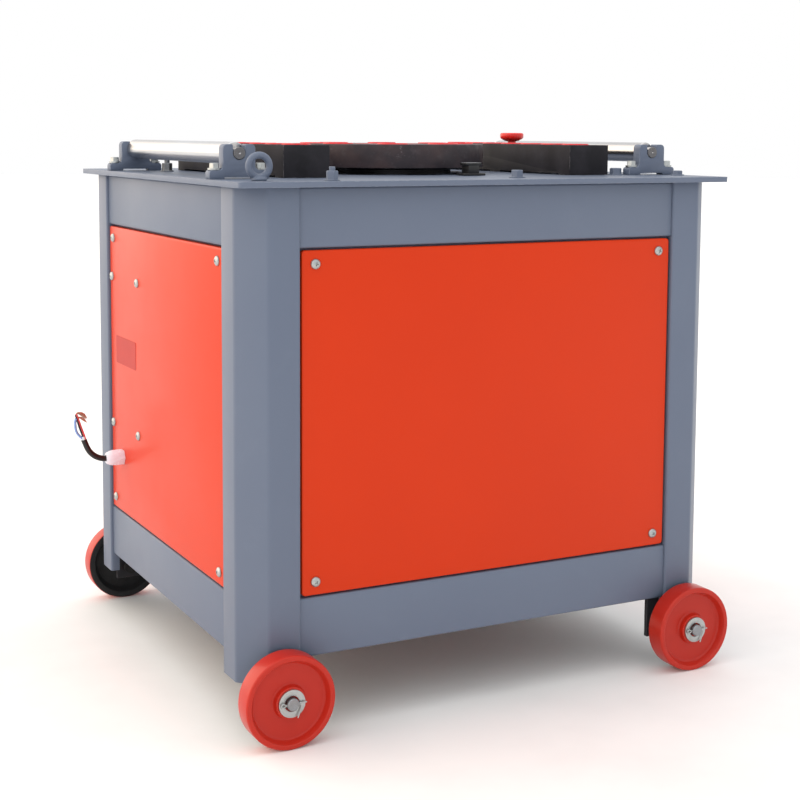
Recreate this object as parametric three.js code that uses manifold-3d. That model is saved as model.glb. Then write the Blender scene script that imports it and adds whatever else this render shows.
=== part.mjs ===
// Rebar bender: a welded sheet-steel cabinet on four small wheels, with a work table on top.
// The table carries a turning disc with pin holes, two fixed pin-hole blocks and two feed rollers.
// A motor, a belt drive and a two-stage gearbox under the table turn the disc.
// Millimetres, +Z up, front of the machine towards -Y, wheels standing on z = 0.
import * as THREE from 'three';
import { mergeVertices } from 'three/addons/utils/BufferGeometryUtils.js';
import Module from 'manifold-3d';

const wasm = await Module();
wasm.setup();

// ---------------------------------------------------------------- driving dimensions
const gap = 0.3;                    // clearance left between neighbouring pieces

// cabinet
const cabinetWidth = 900;           // over the posts, along X
const cabinetDepth = 810;           // over the posts, along Y
const postBottom = 90;
const postChamfer = 41;             // leg of the flat across each corner
const postFlange = 54;              // flat beside the chamfer, up to the opening
const postReturn = 17;              // lip folded inwards at the opening
const sheet = 3;                    // thickness of posts and rails
const railRecess = 5;               // rails and panels sit this far behind the posts
const railBottom = 125;
const bottomRailTop = 221;
const topRailBottom = 775.5;
const railFlange = 45;              // horizontal flange of a rail
const railLip = 25;                 // lip that a panel is screwed to
const panelSheet = 2;
const panelDepth = 12;              // folded edge of a panel
const panelGap = 3.5;               // gap between a panel and the opening round it

// table
const tableBottom = 870;
const tableThickness = 9;
const tableTop = tableBottom + tableThickness;
const tableSideOverhang = 12;
const tableFrontOverhang = 17;
const tableRearOverhang = 27;
const tableCentreY = (tableRearOverhang - tableFrontOverhang) / 2;

// wheels
const wheelRadius = 75;
const wheelWidth = 37;
const wheelX = cabinetWidth / 2 - 60;
const wheelY = cabinetDepth / 2 + 26;      // middle plane of a wheel
const axleRadius = 10;
const axleEnd = 27;                        // end of the axle, measured from the wheel's middle plane

// pin-hole blocks
const blockInner = 237;             // X of the face towards the disc
const blockWidth = 83;
const blockLength = 520;
const blockRelief = 3;              // shallow relief under the block, between its feet
const blockTop = tableTop + 54;
const blockHoles = 7;
const blockHolePitch = 72;
const blockHoleRadius = 15;

// feed rollers and their brackets
const rollerX = 404;
const rollerSpan = 540;             // between the middles of the two brackets
const rollerRadius = 18;
const journalRadius = 10;
const rollerHeight = 41;            // roller axis above the table
const bracketThickness = 20;
const bracketHeight = 55;

// lifting eyes (45 mm ring)
const eyeX = 407;
const eyeY = 365;

// working disc and gearbox
const discRadius = 180;
const discThickness = 42;
const discBottom = tableTop + 12;
const discTop = discBottom + discThickness;
const discHoles = 8;
const discHoleCircle = 135;
const discHoleRadius = 18;
const spigotRadius = 30;            // the shaft's head fills the disc's middle hole
const centreSocketRadius = 22;
const bossRadius = 120;             // gearbox boss that stands up through the table
const coverTop = tableBottom - gap;
const coverThickness = 20;
const coverBottom = coverTop - coverThickness;
const housingBottom = 735;
const housingFloor = 12;
const housingWall = 10;

// gears: two spur stages (65:13 and 63:14) behind a 3:1 belt
const slowModule = 5;
const slowPinionTeeth = 13;
const mainGearTeeth = 65;
const fastModule = 3.5;
const fastPinionTeeth = 14;
const layGearTeeth = 63;
const layAngle = Math.PI - Math.atan2(124.6, 150);        // direction from the disc to the layshaft
const inputAngle = Math.PI * 250 / 180;                   // direction from layshaft to input shaft
const slowCentres = slowModule * (slowPinionTeeth + mainGearTeeth) / 2;
const fastCentres = fastModule * (fastPinionTeeth + layGearTeeth) / 2;
const lay = new THREE.Vector2(Math.cos(layAngle), Math.sin(layAngle)).multiplyScalar(slowCentres);
const input = new THREE.Vector2(Math.cos(inputAngle), Math.sin(inputAngle))
  .multiplyScalar(fastCentres).add(lay);

// belt and motor
const motorAxis = new THREE.Vector2(70, -110);
const drivenGroove = 100;
const motorGroove = 30;
const beltThickness = 10;
const pulleyBottom = 650;
const pulleyHeight = 40;
const pulleyRim = 5;
const motorRadius = 92;
const motorTop = 632;
const motorHeight = 250;

// electrical pieces
const glandY = 238;
const glandZ = 333;
const glandLength = 34;
const cableRadius = 5.5;

// the frame's origin is under the middle of everything but the cable
const glandTip = cabinetWidth / 2 - railRecess + glandLength;
const wheelEdge = wheelX + wheelRadius;
const centreShift = (glandTip - wheelEdge) / 2;

// ---------------------------------------------------------------- materials
function steel(color, roughness, metalness) {
  return new THREE.MeshStandardMaterial({ color, roughness, metalness });
}

const slatePaint = steel(0x6e7889, 0.5, 0.1);
const orangePaint = steel(0xe5472c, 0.35, 0.1);
const redEnamel = steel(0xd23a28, 0.3, 0.1);
const blackPaint = steel(0x26262a, 0.45, 0.2);
const discSteel = steel(0x3f3a40, 0.5, 0.6);
const brightSteel = steel(0xbfc1c4, 0.25, 1);
const machinedSteel = steel(0x8d9094, 0.35, 1);
const castIron = steel(0x4d5257, 0.6, 0.5);
const motorPaint = steel(0x3d5a73, 0.45, 0.2);
const beltRubber = steel(0x1b1b1c, 0.8, 0);
const whiteNylon = steel(0xeeeaf3, 0.4, 0);
const blackPlastic = steel(0x1d1d1f, 0.4, 0);
const redPlastic = steel(0xd8201c, 0.35, 0);
const cableSheath = steel(0x17171a, 0.6, 0);

// ---------------------------------------------------------------- geometry helpers
function solidOf(geometry) {
  const bare = geometry.clone();
  bare.deleteAttribute('normal');
  bare.deleteAttribute('uv');
  const welded = mergeVertices(bare, 1e-4);
  return new wasm.Manifold(new wasm.Mesh({
    numProp: 3,
    vertProperties: new Float32Array(welded.attributes.position.array),
    triVerts: new Uint32Array(welded.index.array),
  }));
}

function geometryOf(solid) {
  const mesh = solid.getMesh();
  const geometry = new THREE.BufferGeometry();
  geometry.setAttribute('position', new THREE.BufferAttribute(mesh.vertProperties, 3));
  geometry.setIndex(new THREE.BufferAttribute(mesh.triVerts, 1));
  geometry.computeVertexNormals();
  return geometry;
}

function join(...geometries) {
  return geometryOf(geometries.map(solidOf).reduce((whole, piece) => whole.add(piece)));
}

function cut(body, ...tools) {
  return geometryOf(tools.map(solidOf).reduce((rest, tool) => rest.subtract(tool), solidOf(body)));
}

function outline(points) {
  return new THREE.Shape(points.map(([x, y]) => new THREE.Vector2(x, y)));
}

function ring(radius, segments, x = 0, y = 0) {
  // corner points of a regular polygon that stands in for a circle
  const points = [];
  for (let i = 0; i < segments; i += 1) {
    const angle = i * Math.PI * 2 / segments;
    points.push([x + radius * Math.cos(angle), y + radius * Math.sin(angle)]);
  }
  return points;
}

function circle(x, y, radius, segments = 20) {
  return outline(ring(radius, segments, x, y));
}

function prism(shape, height, curveSegments = 4) {
  return new THREE.ExtrudeGeometry(shape, { depth: height, bevelEnabled: false, curveSegments });
}

function box(width, depth, height) {
  // a box standing on z = 0, centred in X and Y
  return new THREE.BoxGeometry(width, depth, height).translate(0, 0, height / 2);
}

function roundBar(radius, height, segments = 24) {
  // a cylinder standing on z = 0
  return new THREE.CylinderGeometry(radius, radius, height, segments)
    .rotateX(Math.PI / 2).translate(0, 0, height / 2);
}

function turned(profile, segments = 24) {
  // profile points are [radius, z]; it starts and ends on the axis or closes on itself
  const points = profile.map(([radius, z]) => new THREE.Vector2(radius, z));
  return new THREE.LatheGeometry(points, segments).rotateX(Math.PI / 2);
}

function roundedRectangle(width, depth, radius) {
  const x = width / 2;
  const y = depth / 2;
  const shape = new THREE.Shape();
  shape.moveTo(-x + radius, -y);
  shape.lineTo(x - radius, -y);
  shape.absarc(x - radius, -y + radius, radius, -Math.PI / 2, 0, false);
  shape.lineTo(x, y - radius);
  shape.absarc(x - radius, y - radius, radius, 0, Math.PI / 2, false);
  shape.lineTo(-x + radius, y);
  shape.absarc(-x + radius, y - radius, radius, Math.PI / 2, Math.PI, false);
  shape.lineTo(-x, -y + radius);
  shape.absarc(-x + radius, -y + radius, radius, Math.PI, Math.PI * 1.5, false);
  return shape;
}

function hexagon(acrossFlats) {
  return outline(ring(acrossFlats / Math.sqrt(3), 6));
}

function foldedSheet(path, thickness) {
  // cross-section of a bent sheet: the path is its outer side, the sheet lies to the left of it
  const outer = path.map(([x, y]) => new THREE.Vector2(x, y));
  const inner = outer.map((point, i) => {
    const before = outer[Math.max(i - 1, 0)];
    const after = outer[Math.min(i + 1, outer.length - 1)];
    const intoPoint = (i > 0 ? point.clone().sub(before) : after.clone().sub(point)).normalize();
    const outOfPoint = (i < outer.length - 1 ? after.clone().sub(point) : intoPoint.clone())
      .normalize();
    const leftIn = new THREE.Vector2(-intoPoint.y, intoPoint.x);
    const leftOut = new THREE.Vector2(-outOfPoint.y, outOfPoint.x);
    const mitre = leftIn.clone().add(leftOut).normalize();
    return point.clone().addScaledVector(mitre, thickness / mitre.dot(leftIn));
  });
  return new THREE.Shape([...outer, ...inner.reverse()]);
}

function alongX(geometry) {
  // turns a section drawn as (depth, height) and extruded in Z into one that runs along X
  const turn = new THREE.Matrix4().makeBasis(
    new THREE.Vector3(0, 1, 0), new THREE.Vector3(0, 0, 1), new THREE.Vector3(1, 0, 0));
  return geometry.applyMatrix4(turn);
}

function gearShape(teeth, module, bore, phase) {
  // straight-flanked teeth, thinned for backlash; phase turns the first tooth from the X axis
  const pitchRadius = teeth * module / 2;
  const tip = pitchRadius + 0.8 * module;
  const root = pitchRadius - 1.05 * module;
  const step = Math.PI * 2 / teeth;
  const points = [];
  for (let i = 0; i < teeth; i += 1) {
    const middle = phase + i * step;
    const corners = [[root, -0.31], [tip, -0.12], [tip, 0.12], [root, 0.31]];
    for (const [radius, share] of corners) {
      const angle = middle + share * step;
      points.push([radius * Math.cos(angle), radius * Math.sin(angle)]);
    }
  }
  const shape = outline(points);
  if (bore > 0) {
    shape.holes.push(circle(0, 0, bore, 28));
  }
  return shape;
}

// ---------------------------------------------------------------- assembly
const machine = new THREE.Group();
machine.position.x = centreShift;
const drive = new THREE.Group();
drive.position.y = tableCentreY;
machine.add(drive);

function add(name, geometry, material, parent = machine) {
  const mesh = new THREE.Mesh(geometry, material);
  mesh.name = name;
  parent.add(mesh);
  return mesh;
}

// The four sides are alike apart from their length, so each is drawn as the front one and turned.
const sides = [
  { name: 'front', turn: 0, width: cabinetWidth, distance: cabinetDepth / 2 },
  { name: 'right', turn: Math.PI / 2, width: cabinetDepth, distance: cabinetWidth / 2 },
  { name: 'rear', turn: Math.PI, width: cabinetWidth, distance: cabinetDepth / 2 },
  { name: 'left', turn: -Math.PI / 2, width: cabinetDepth, distance: cabinetWidth / 2 },
];

function sideGroup(side) {
  const group = new THREE.Group();
  group.rotation.z = side.turn;
  machine.add(group);
  return group;
}

const openingStart = postChamfer + postFlange;
const lipDepth = panelDepth + gap;

function addPosts() {
  const path = [
    [openingStart, postReturn], [openingStart, 0], [postChamfer, 0],
    [0, postChamfer], [0, openingStart], [postReturn, openingStart],
  ];
  const section = foldedSheet(path.reverse(), sheet);
  const corners = [
    ['post_front_left', -1, -1, 0], ['post_front_right', 1, -1, Math.PI / 2],
    ['post_rear_right', 1, 1, Math.PI], ['post_rear_left', -1, 1, -Math.PI / 2],
  ];
  for (const [name, x, y, turn] of corners) {
    const post = add(name, prism(section, tableBottom - gap - postBottom), slatePaint);
    post.rotation.z = turn;
    post.position.set(x * cabinetWidth / 2, y * cabinetDepth / 2, postBottom);
  }
}

function addRails() {
  const topHeight = tableBottom - gap - topRailBottom;
  const bottomHeight = bottomRailTop - railBottom;
  const topPath = [
    [railFlange, topHeight], [0, topHeight], [0, 0], [lipDepth, 0], [lipDepth, -railLip],
  ];
  const bottomPath = [
    [lipDepth, bottomHeight + railLip], [lipDepth, bottomHeight],
    [0, bottomHeight], [0, 0], [railFlange, 0],
  ];
  for (const side of sides) {
    const length = side.width - 2 * (openingStart + gap);
    const group = sideGroup(side);
    const rails = [
      [`top_rail_${side.name}`, topPath, topRailBottom],
      [`bottom_rail_${side.name}`, bottomPath, railBottom],
    ];
    for (const [name, path, z] of rails) {
      const rail = add(name, alongX(prism(foldedSheet(path, sheet), length)), slatePaint, group);
      rail.position.set(-length / 2, -side.distance + railRecess, z);
    }
  }
}

function addPanels() {
  const bottom = bottomRailTop + panelGap;
  const height = topRailBottom - panelGap - bottom;
  for (const side of sides) {
    const width = side.width - 2 * (openingStart + panelGap + 0.5);
    const inside = box(width - 2 * panelSheet, panelDepth, height - 2 * panelSheet)
      .translate(0, panelSheet, panelSheet);
    const tools = [inside];
    if (side.name === 'left') {
      const hole = roundBar(9.8, 20).rotateX(Math.PI / 2);
      tools.push(hole.translate(-glandY, 10, glandZ - bottom));
    }
    const tray = cut(box(width, panelDepth, height), ...tools);
    const panel = add(`panel_${side.name}`, tray, orangePaint, sideGroup(side));
    panel.position.set(0, -side.distance + railRecess + panelDepth / 2, bottom);
  }
}

function addTable() {
  const width = cabinetWidth + 2 * tableSideOverhang;
  const depth = cabinetDepth + tableFrontOverhang + tableRearOverhang;
  const shape = roundedRectangle(width, depth, 6);
  shape.holes.push(circle(0, 0, bossRadius + 2, 40));
  for (const side of [-1, 1]) {
    shape.holes.push(circle(side * eyeX, side * eyeY - tableCentreY, 5.6, 16));
  }
  const table = add('table_plate', prism(shape, tableThickness), slatePaint);
  table.position.set(0, tableCentreY, tableBottom);
}

// ---------------------------------------------------------------- wheels
function addWheels() {
  // profiles are [radius, distance from the wheel's middle plane], outer face positive
  const half = wheelWidth / 2;
  const wheelProfile = [
    [axleRadius + gap, -15], [27, -15], [28, -3], [59, -3], [62, -half], [70, -half],
    [wheelRadius, -half + 5], [wheelRadius, half - 5], [70, half], [61, half],
    [58, 7], [28, 7], [26, 17], [axleRadius + gap, 17], [axleRadius + gap, -15],
  ];
  const bracketWidth = 88;
  const bracketInset = 16;          // the bracket reaches further towards the machine's middle
  const bracketTop = railBottom - gap - wheelRadius;
  const bracketBottom = -23;
  const webFront = wheelY - cabinetDepth / 2 + postReturn + gap;
  const webBack = webFront + 8;
  const axleProfile = [
    [0, -60], [14, -60], [14, -webBack - gap], [axleRadius, -webBack - gap],
    [axleRadius, -webFront + gap], [14, -webFront + gap], [14, -15.3], [axleRadius, -15.3],
    [axleRadius, axleEnd - 1.5], [axleRadius - 1.5, axleEnd], [0, axleEnd],
  ];
  for (const [end, y] of [['front', -1], ['rear', 1]]) {
    for (const [side, x] of [['left', -1], ['right', 1]]) {
      const group = new THREE.Group();
      group.position.set(x * wheelX, y * wheelY, wheelRadius);
      group.rotation.z = end === 'front' ? 0 : Math.PI;
      machine.add(group);
      const inset = x * y * bracketInset;
      const name = `${end}_${side}`;
      add(`wheel_${name}`, turned(wheelProfile, 32).rotateX(Math.PI / 2), redEnamel, group);
      add(`wheel_axle_${name}`, turned(axleProfile, 16).rotateX(Math.PI / 2), machinedSteel, group);
      const web = box(bracketWidth, webBack - webFront, bracketTop - bracketBottom)
        .translate(inset, (webFront + webBack) / 2, bracketBottom);
      const foot = box(bracketWidth, 60, 6).translate(inset, webFront + 30, bracketTop - 6);
      const bore = roundBar(axleRadius + gap, 60).rotateX(Math.PI / 2).translate(0, 80, 0);
      add(`wheel_bracket_${name}`, cut(join(web, foot), bore), blackPaint, group);
    }
  }
}

// ---------------------------------------------------------------- pieces on the table
function addHoleBlocks() {
  const height = blockTop - tableTop - gap;
  const foot = 36;
  const half = blockLength / 2;
  const profile = outline([
    [-half, 0], [-half + foot, 0], [-half + foot, blockRelief], [-foot / 2, blockRelief],
    [-foot / 2, 0], [foot / 2, 0], [foot / 2, blockRelief], [half - foot, blockRelief],
    [half - foot, 0], [half, 0], [half, height], [-half, height],
  ]);
  const bar = alongX(prism(profile, blockWidth)).translate(-blockWidth / 2, 0, 0);
  const holes = [];
  for (let i = 0; i < blockHoles; i += 1) {
    const y = (i - (blockHoles - 1) / 2) * blockHolePitch;
    holes.push(roundBar(blockHoleRadius, height + 20, 20).translate(0, y, -10));
  }
  const block = cut(bar, ...holes);
  for (const [side, x] of [['left', -1], ['right', 1]]) {
    const mesh = add(`hole_block_${side}`, block.clone(), blackPaint);
    mesh.position.set(x * (blockInner + blockWidth / 2), tableCentreY, tableTop + gap);
  }
}

function bracketShape() {
  // feet both sides, a shallow relief between them and an open slot for the roller's journal
  const slot = journalRadius + 0.5;
  const shape = new THREE.Shape();
  shape.moveTo(-50.5, 0);
  shape.lineTo(-25, 0);
  shape.lineTo(-25, 3);
  shape.lineTo(25, 3);
  shape.lineTo(25, 0);
  shape.lineTo(50.5, 0);
  shape.lineTo(50.5, 14);
  shape.lineTo(27.5, 14);
  shape.lineTo(27.5, bracketHeight);
  shape.lineTo(slot, bracketHeight);
  shape.lineTo(slot, rollerHeight - gap);
  shape.absarc(0, rollerHeight - gap, slot, 0, Math.PI, true);
  shape.lineTo(-slot, bracketHeight);
  shape.lineTo(-27.5, bracketHeight);
  shape.lineTo(-27.5, 14);
  shape.lineTo(-50.5, 14);
  return shape;
}

function addFeedRollers() {
  const bodyEnd = rollerSpan / 2 - bracketThickness / 2 - 0.8;
  const end = rollerSpan / 2 + bracketThickness / 2 + 1.5;
  const profile = [
    [0, -end], [journalRadius - 1, -end], [journalRadius, -end + 1], [journalRadius, -bodyEnd],
    [rollerRadius - 1, -bodyEnd], [rollerRadius, -bodyEnd + 1], [rollerRadius, bodyEnd - 1],
    [rollerRadius - 1, bodyEnd], [journalRadius, bodyEnd], [journalRadius, end - 1],
    [journalRadius - 1, end], [0, end],
  ];
  for (const [side, x] of [['left', -1], ['right', 1]]) {
    const roller = turned(profile, 24).rotateX(Math.PI / 2);
    add(`feed_roller_${side}`, roller, brightSteel)
      .position.set(x * rollerX, tableCentreY, tableTop + rollerHeight);
    for (const [end, y] of [['front', -1], ['rear', 1]]) {
      const bracket = prism(bracketShape(), bracketThickness, 6)
        .rotateX(Math.PI / 2).translate(0, bracketThickness / 2, 0);
      add(`roller_bracket_${side}_${end}`, bracket, slatePaint)
        .position.set(x * rollerX, tableCentreY + y * rollerSpan / 2, tableTop + gap);
    }
  }
}

function addLiftingEyes() {
  const ring = new THREE.TorusGeometry(17, 5.5, 10, 20).rotateX(Math.PI / 2).translate(0, 0, 22.5);
  const foot = turned([[0, gap], [12.5, gap], [12.5, 4], [8, 8.5], [0, 8.5]], 20);
  const shank = roundBar(5, 26, 16).translate(0, 0, -20);
  const eye = join(ring, foot, shank);
  for (const [name, side] of [['front_left', -1], ['rear_right', 1]]) {
    add(`lifting_eye_${name}`, eye.clone(), slatePaint)
      .position.set(side * eyeX, side * eyeY, tableTop);
  }
}

// ---------------------------------------------------------------- disc and gearbox
function addWorkingDisc() {
  const shape = circle(0, 0, discRadius, 48);
  shape.holes.push(circle(0, 0, spigotRadius, 24));
  for (let i = 0; i < discHoles; i += 1) {
    const angle = (i + 0.5) * Math.PI * 2 / discHoles;
    shape.holes.push(circle(
      discHoleCircle * Math.cos(angle), discHoleCircle * Math.sin(angle), discHoleRadius));
  }
  add('working_disc', prism(shape, discThickness), discSteel, drive).position.z = discBottom;

  const head = spigotRadius - gap;
  const shaft = turned([
    [0, 728], [24.7, 728], [24.7, 748], [30, 748], [30, coverBottom - 1], [35, coverBottom - 1],
    [35, discBottom - 2.5], [78, discBottom - 2.5], [78, discBottom - gap],
    [head, discBottom - gap], [head, discTop - 3], [centreSocketRadius, discTop - 3],
    [centreSocketRadius, discBottom + 4], [0, discBottom + 4],
  ], 28);
  add('main_shaft', shaft, machinedSteel, drive);
}

// A gear pair meshes when a tooth of one points at a gap of the other along the line of centres.
const toothPhase = {
  main: layAngle,
  slowPinion: layAngle + Math.PI + Math.PI / slowPinionTeeth,
  lay: inputAngle,
  fastPinion: inputAngle + Math.PI + Math.PI / fastPinionTeeth,
};

function addGears() {
  const mainGear = prism(gearShape(mainGearTeeth, slowModule, 30 + gap, toothPhase.main), 35);
  add('main_gear', mainGear, machinedSteel, drive).position.z = 805;

  const layGear = prism(gearShape(layGearTeeth, fastModule, 17 + gap, toothPhase.lay), 25);
  add('layshaft_gear', layGear, machinedSteel, drive).position.set(lay.x, lay.y, 765);

  const journalTop = coverBottom + 13;
  const layBar = turned([
    [0, 736], [15, 736], [15, 763], [17, 763], [17, 792], [22, 792], [22, 846], [15, 846],
    [15, journalTop], [0, journalTop],
  ], 20);
  const slowTeeth = prism(gearShape(slowPinionTeeth, slowModule, 0, toothPhase.slowPinion), 39)
    .translate(0, 0, 803);
  add('layshaft', join(layBar, slowTeeth), machinedSteel, drive).position.set(lay.x, lay.y, 0);

  const inputBar = turned([
    [0, pulleyBottom - 4], [12, pulleyBottom - 4], [12, 755], [15, 755], [15, 800],
    [12, 800], [12, journalTop], [0, journalTop],
  ], 20);
  const fastTeeth = prism(gearShape(fastPinionTeeth, fastModule, 0, toothPhase.fastPinion), 29)
    .translate(0, 0, 763);
  add('input_shaft', join(inputBar, fastTeeth), machinedSteel, drive)
    .position.set(input.x, input.y, 0);
}

function addGearbox() {
  // walls clear the main gear on the right and the layshaft gear behind on the left
  const left = -286;
  const right = 190;
  const front = -190;
  const rear = 262;
  const width = right - left;
  const depth = rear - front;
  const middle = [(left + right) / 2, (front + rear) / 2];
  const wallHeight = coverBottom - gap - housingBottom;
  const outer = prism(roundedRectangle(width, depth, 60), wallHeight, 3)
    .translate(...middle, housingBottom);
  const inner = prism(
    roundedRectangle(width - 2 * housingWall, depth - 2 * housingWall, 50), wallHeight, 3)
    .translate(...middle, housingBottom + housingFloor);
  const floorBores = [
    roundBar(25, 60, 32).translate(0, 0, housingBottom - 20),
    roundBar(15 + gap, 60).translate(lay.x, lay.y, housingBottom - 20),
    roundBar(12 + gap, 60).translate(input.x, input.y, housingBottom - 20),
  ];
  add('gearbox_housing', cut(outer, inner, ...floorBores), castIron, drive);

  const plate = prism(roundedRectangle(width, depth, 60), coverThickness, 3)
    .translate(...middle, coverBottom);
  const boss = roundBar(bossRadius, discBottom - 4 - coverBottom, 48).translate(0, 0, coverBottom);
  const coverBores = [
    roundBar(35 + gap, 80, 32).translate(0, 0, coverBottom - 20),
    roundBar(15 + gap, 20 + 14).translate(lay.x, lay.y, coverBottom - 20),
    roundBar(12 + gap, 20 + 14).translate(input.x, input.y, coverBottom - 20),
  ];
  add('gearbox_cover', cut(join(plate, boss), ...coverBores), blackPaint, drive);
}

// ---------------------------------------------------------------- belt drive and motor
function pulley(groove, bore) {
  const rim = groove + beltThickness + 2;
  return turned([
    [bore, 0], [rim, 0], [rim, pulleyRim], [groove, pulleyRim],
    [groove, pulleyHeight - pulleyRim], [rim, pulleyHeight - pulleyRim],
    [rim, pulleyHeight], [bore, pulleyHeight], [bore, 0],
  ], 32);
}

function beltLoop(offset) {
  // an open belt's loop round both pulleys, drawn about the driven pulley with the motor on +X
  const span = motorAxis.distanceTo(input);
  const big = drivenGroove + offset;
  const small = motorGroove + offset;
  const wrap = Math.acos((big - small) / span);
  const points = [];
  const steps = 18;
  for (let i = 0; i <= steps; i += 1) {
    const angle = wrap + (Math.PI * 2 - 2 * wrap) * i / steps;
    points.push([big * Math.cos(angle), big * Math.sin(angle)]);
  }
  for (let i = 0; i <= steps; i += 1) {
    const angle = -wrap + 2 * wrap * i / steps;
    points.push([span + small * Math.cos(angle), small * Math.sin(angle)]);
  }
  return points;
}

function addBeltDrive() {
  const towardsMotor = motorAxis.clone().sub(input).angle();
  add('driven_pulley', pulley(drivenGroove, 12 + gap), castIron, drive)
    .position.set(input.x, input.y, pulleyBottom);
  add('motor_pulley', pulley(motorGroove, 14 + gap), castIron, drive)
    .position.set(motorAxis.x, motorAxis.y, pulleyBottom);
  const loop = outline(beltLoop(beltThickness));
  loop.holes.push(outline(beltLoop(1)));
  const beltHeight = pulleyHeight - 2 * pulleyRim - 2 * gap;
  const belt = add('drive_belt', prism(loop, beltHeight), beltRubber, drive);
  belt.rotation.z = towardsMotor;
  belt.position.set(input.x, input.y, pulleyBottom + pulleyRim + gap);

  // the mount is a channel under the gearbox, open along the belt
  const height = housingBottom - gap - (motorTop + gap);
  const channel = outline([
    [-109, 0], [109, 0], [109, height], [101, height], [101, 10], [-101, 10],
    [-101, height], [-109, height],
  ]);
  const mount = alongX(prism(channel, 230)).translate(-115, 0, 0);
  const window = roundBar(48, 60, 28).translate(0, 0, -10);
  const mountMesh = add('motor_mount', cut(mount, window), slatePaint, drive);
  mountMesh.rotation.z = towardsMotor;
  mountMesh.position.set(motorAxis.x, motorAxis.y, motorTop + gap);
}

function addMotor() {
  const fins = 18;
  const points = [];
  for (let i = 0; i < fins; i += 1) {
    const middle = i * Math.PI * 2 / fins;
    const step = Math.PI * 2 / fins;
    for (const [radius, share] of [[0.9, -0.3], [1, -0.14], [1, 0.14], [0.9, 0.3]]) {
      const angle = middle + share * step;
      points.push([radius * motorRadius * Math.cos(angle), radius * motorRadius * Math.sin(angle)]);
    }
  }
  const base = motorTop - motorHeight;
  const stator = prism(outline(points), motorHeight - 72).translate(0, 0, base + 60);
  const fanCover = turned([[0, base], [70, base], [88, base + 16], [88, base + 62], [0, base + 62]]);
  const flange = roundBar(96, 14, 28).translate(0, 0, motorTop - 14);
  const terminalBox = box(70, 60, 80).translate(0, -motorRadius - 12, motorTop - 150);
  const pocket = roundBar(14 + gap, 90, 28).translate(0, 0, motorTop - 70);
  const housing = cut(join(stator, fanCover, flange, terminalBox), pocket);
  add('motor_housing', housing, motorPaint, drive).position.set(motorAxis.x, motorAxis.y, 0);

  const shaft = roundBar(14, pulleyBottom + pulleyHeight - motorTop + 68, 28);
  add('motor_shaft', shaft, machinedSteel, drive)
    .position.set(motorAxis.x, motorAxis.y, motorTop - 66);
}

// ---------------------------------------------------------------- electrical pieces
function addElectrics() {
  // an open-fronted box screwed to the back of the left panel
  const face = -cabinetWidth / 2 + railRecess + panelSheet + gap;
  const shell = new THREE.BoxGeometry(120, 178, 310).translate(60, 0, 0);
  const inside = new THREE.BoxGeometry(120, 174, 306).translate(58, 0, 0);
  add('electrical_box', cut(shell, inside), slatePaint).position.set(face, 208, 535);

  // gland profile runs along its own axis; z = 0 is the panel's outer face
  const body = prism(hexagon(27), 16).translate(0, 0, gap);
  const dome = turned([[0, 16], [13, 16], [13, 26], [9.5, glandLength], [0, glandLength]], 20);
  const thread = roundBar(9.5, 24).translate(0, 0, -12);
  const locknut = prism(hexagon(25), 5).translate(0, 0, -panelSheet - gap - 5);
  const bore = roundBar(cableRadius + 0.4, 90).translate(0, 0, -30);
  const gland = cut(join(body, dome, thread, locknut), bore).rotateY(-Math.PI / 2);
  add('cable_gland', gland, whiteNylon)
    .position.set(-cabinetWidth / 2 + railRecess, glandY, glandZ);

  // a short tail, stripped at its end, comes straight out of the gland and bends up: x, height
  const tail = [
    [-448, 0], [-458, 0], [-468, 0], [-478, 0], [-483.9, 0.4], [-489.7, 1.7], [-495.2, 3.9],
    [-500.4, 6.8], [-505, 10.5], [-509.1, 14.8], [-512.5, 19.7], [-515.1, 25],
    [-516.6, 28.7], [-518.1, 32.4], [-519.6, 36.1], [-521.1, 39.8],
  ];
  const route = new THREE.CatmullRomCurve3(
    tail.map(([x, rise]) => new THREE.Vector3(x, glandY, glandZ + rise)));
  const disc = new THREE.Shape().absarc(0, 0, cableRadius, 0, Math.PI * 2, false);
  const cable = new THREE.ExtrudeGeometry(disc, {
    steps: 20, curveSegments: 5, extrudePath: route, bevelEnabled: false,
  });
  add('supply_cable', cable, cableSheath);
}

function addStopButton() {
  const place = [353, 133, tableTop + gap];
  const height = 45;
  const well = roundBar(9, 40, 24).translate(0, 0, height - 18);
  const collar = roundBar(17, 8, 28).translate(0, 0, height - 1);
  const shell = cut(join(box(56, 66, height), collar), well);
  add('stop_button_box', shell, blackPlastic).position.set(...place);
  const mushroom = turned([
    [0, 36], [8.5, 36], [8.5, 57.5], [20, 57.5], [24, 62], [23, 69], [15, 73.5], [0, 75],
  ], 32);
  add('stop_button', mushroom, redPlastic).position.set(...place);
}

function addLimitSwitch() {
  const place = [55, -215, tableTop + gap];
  const body = join(box(44, 30, 4), box(32, 24, 23));
  const well = roundBar(3.9, 30, 20).rotateX(Math.PI / 2).translate(0, 24, 8);
  add('limit_switch', cut(body, well), blackPlastic).position.set(...place);
  const plunger = turned([[0, 0], [3.5, 0], [3.5, 26], [2.5, 28], [0, 28]], 20)
    .rotateX(-Math.PI / 2).translate(0, 0, 8);
  add('limit_plunger', plunger, machinedSteel).position.set(...place);
}

addPosts();
addRails();
addPanels();
addTable();
addWheels();
addHoleBlocks();
addFeedRollers();
addLiftingEyes();
addWorkingDisc();
addGears();
addGearbox();
addBeltDrive();
addMotor();
addElectrics();
addStopButton();
addLimitSwitch();

export default machine;
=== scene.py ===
import math
from functools import partial

import bmesh
import bpy
from mathutils import Matrix, Vector


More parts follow.
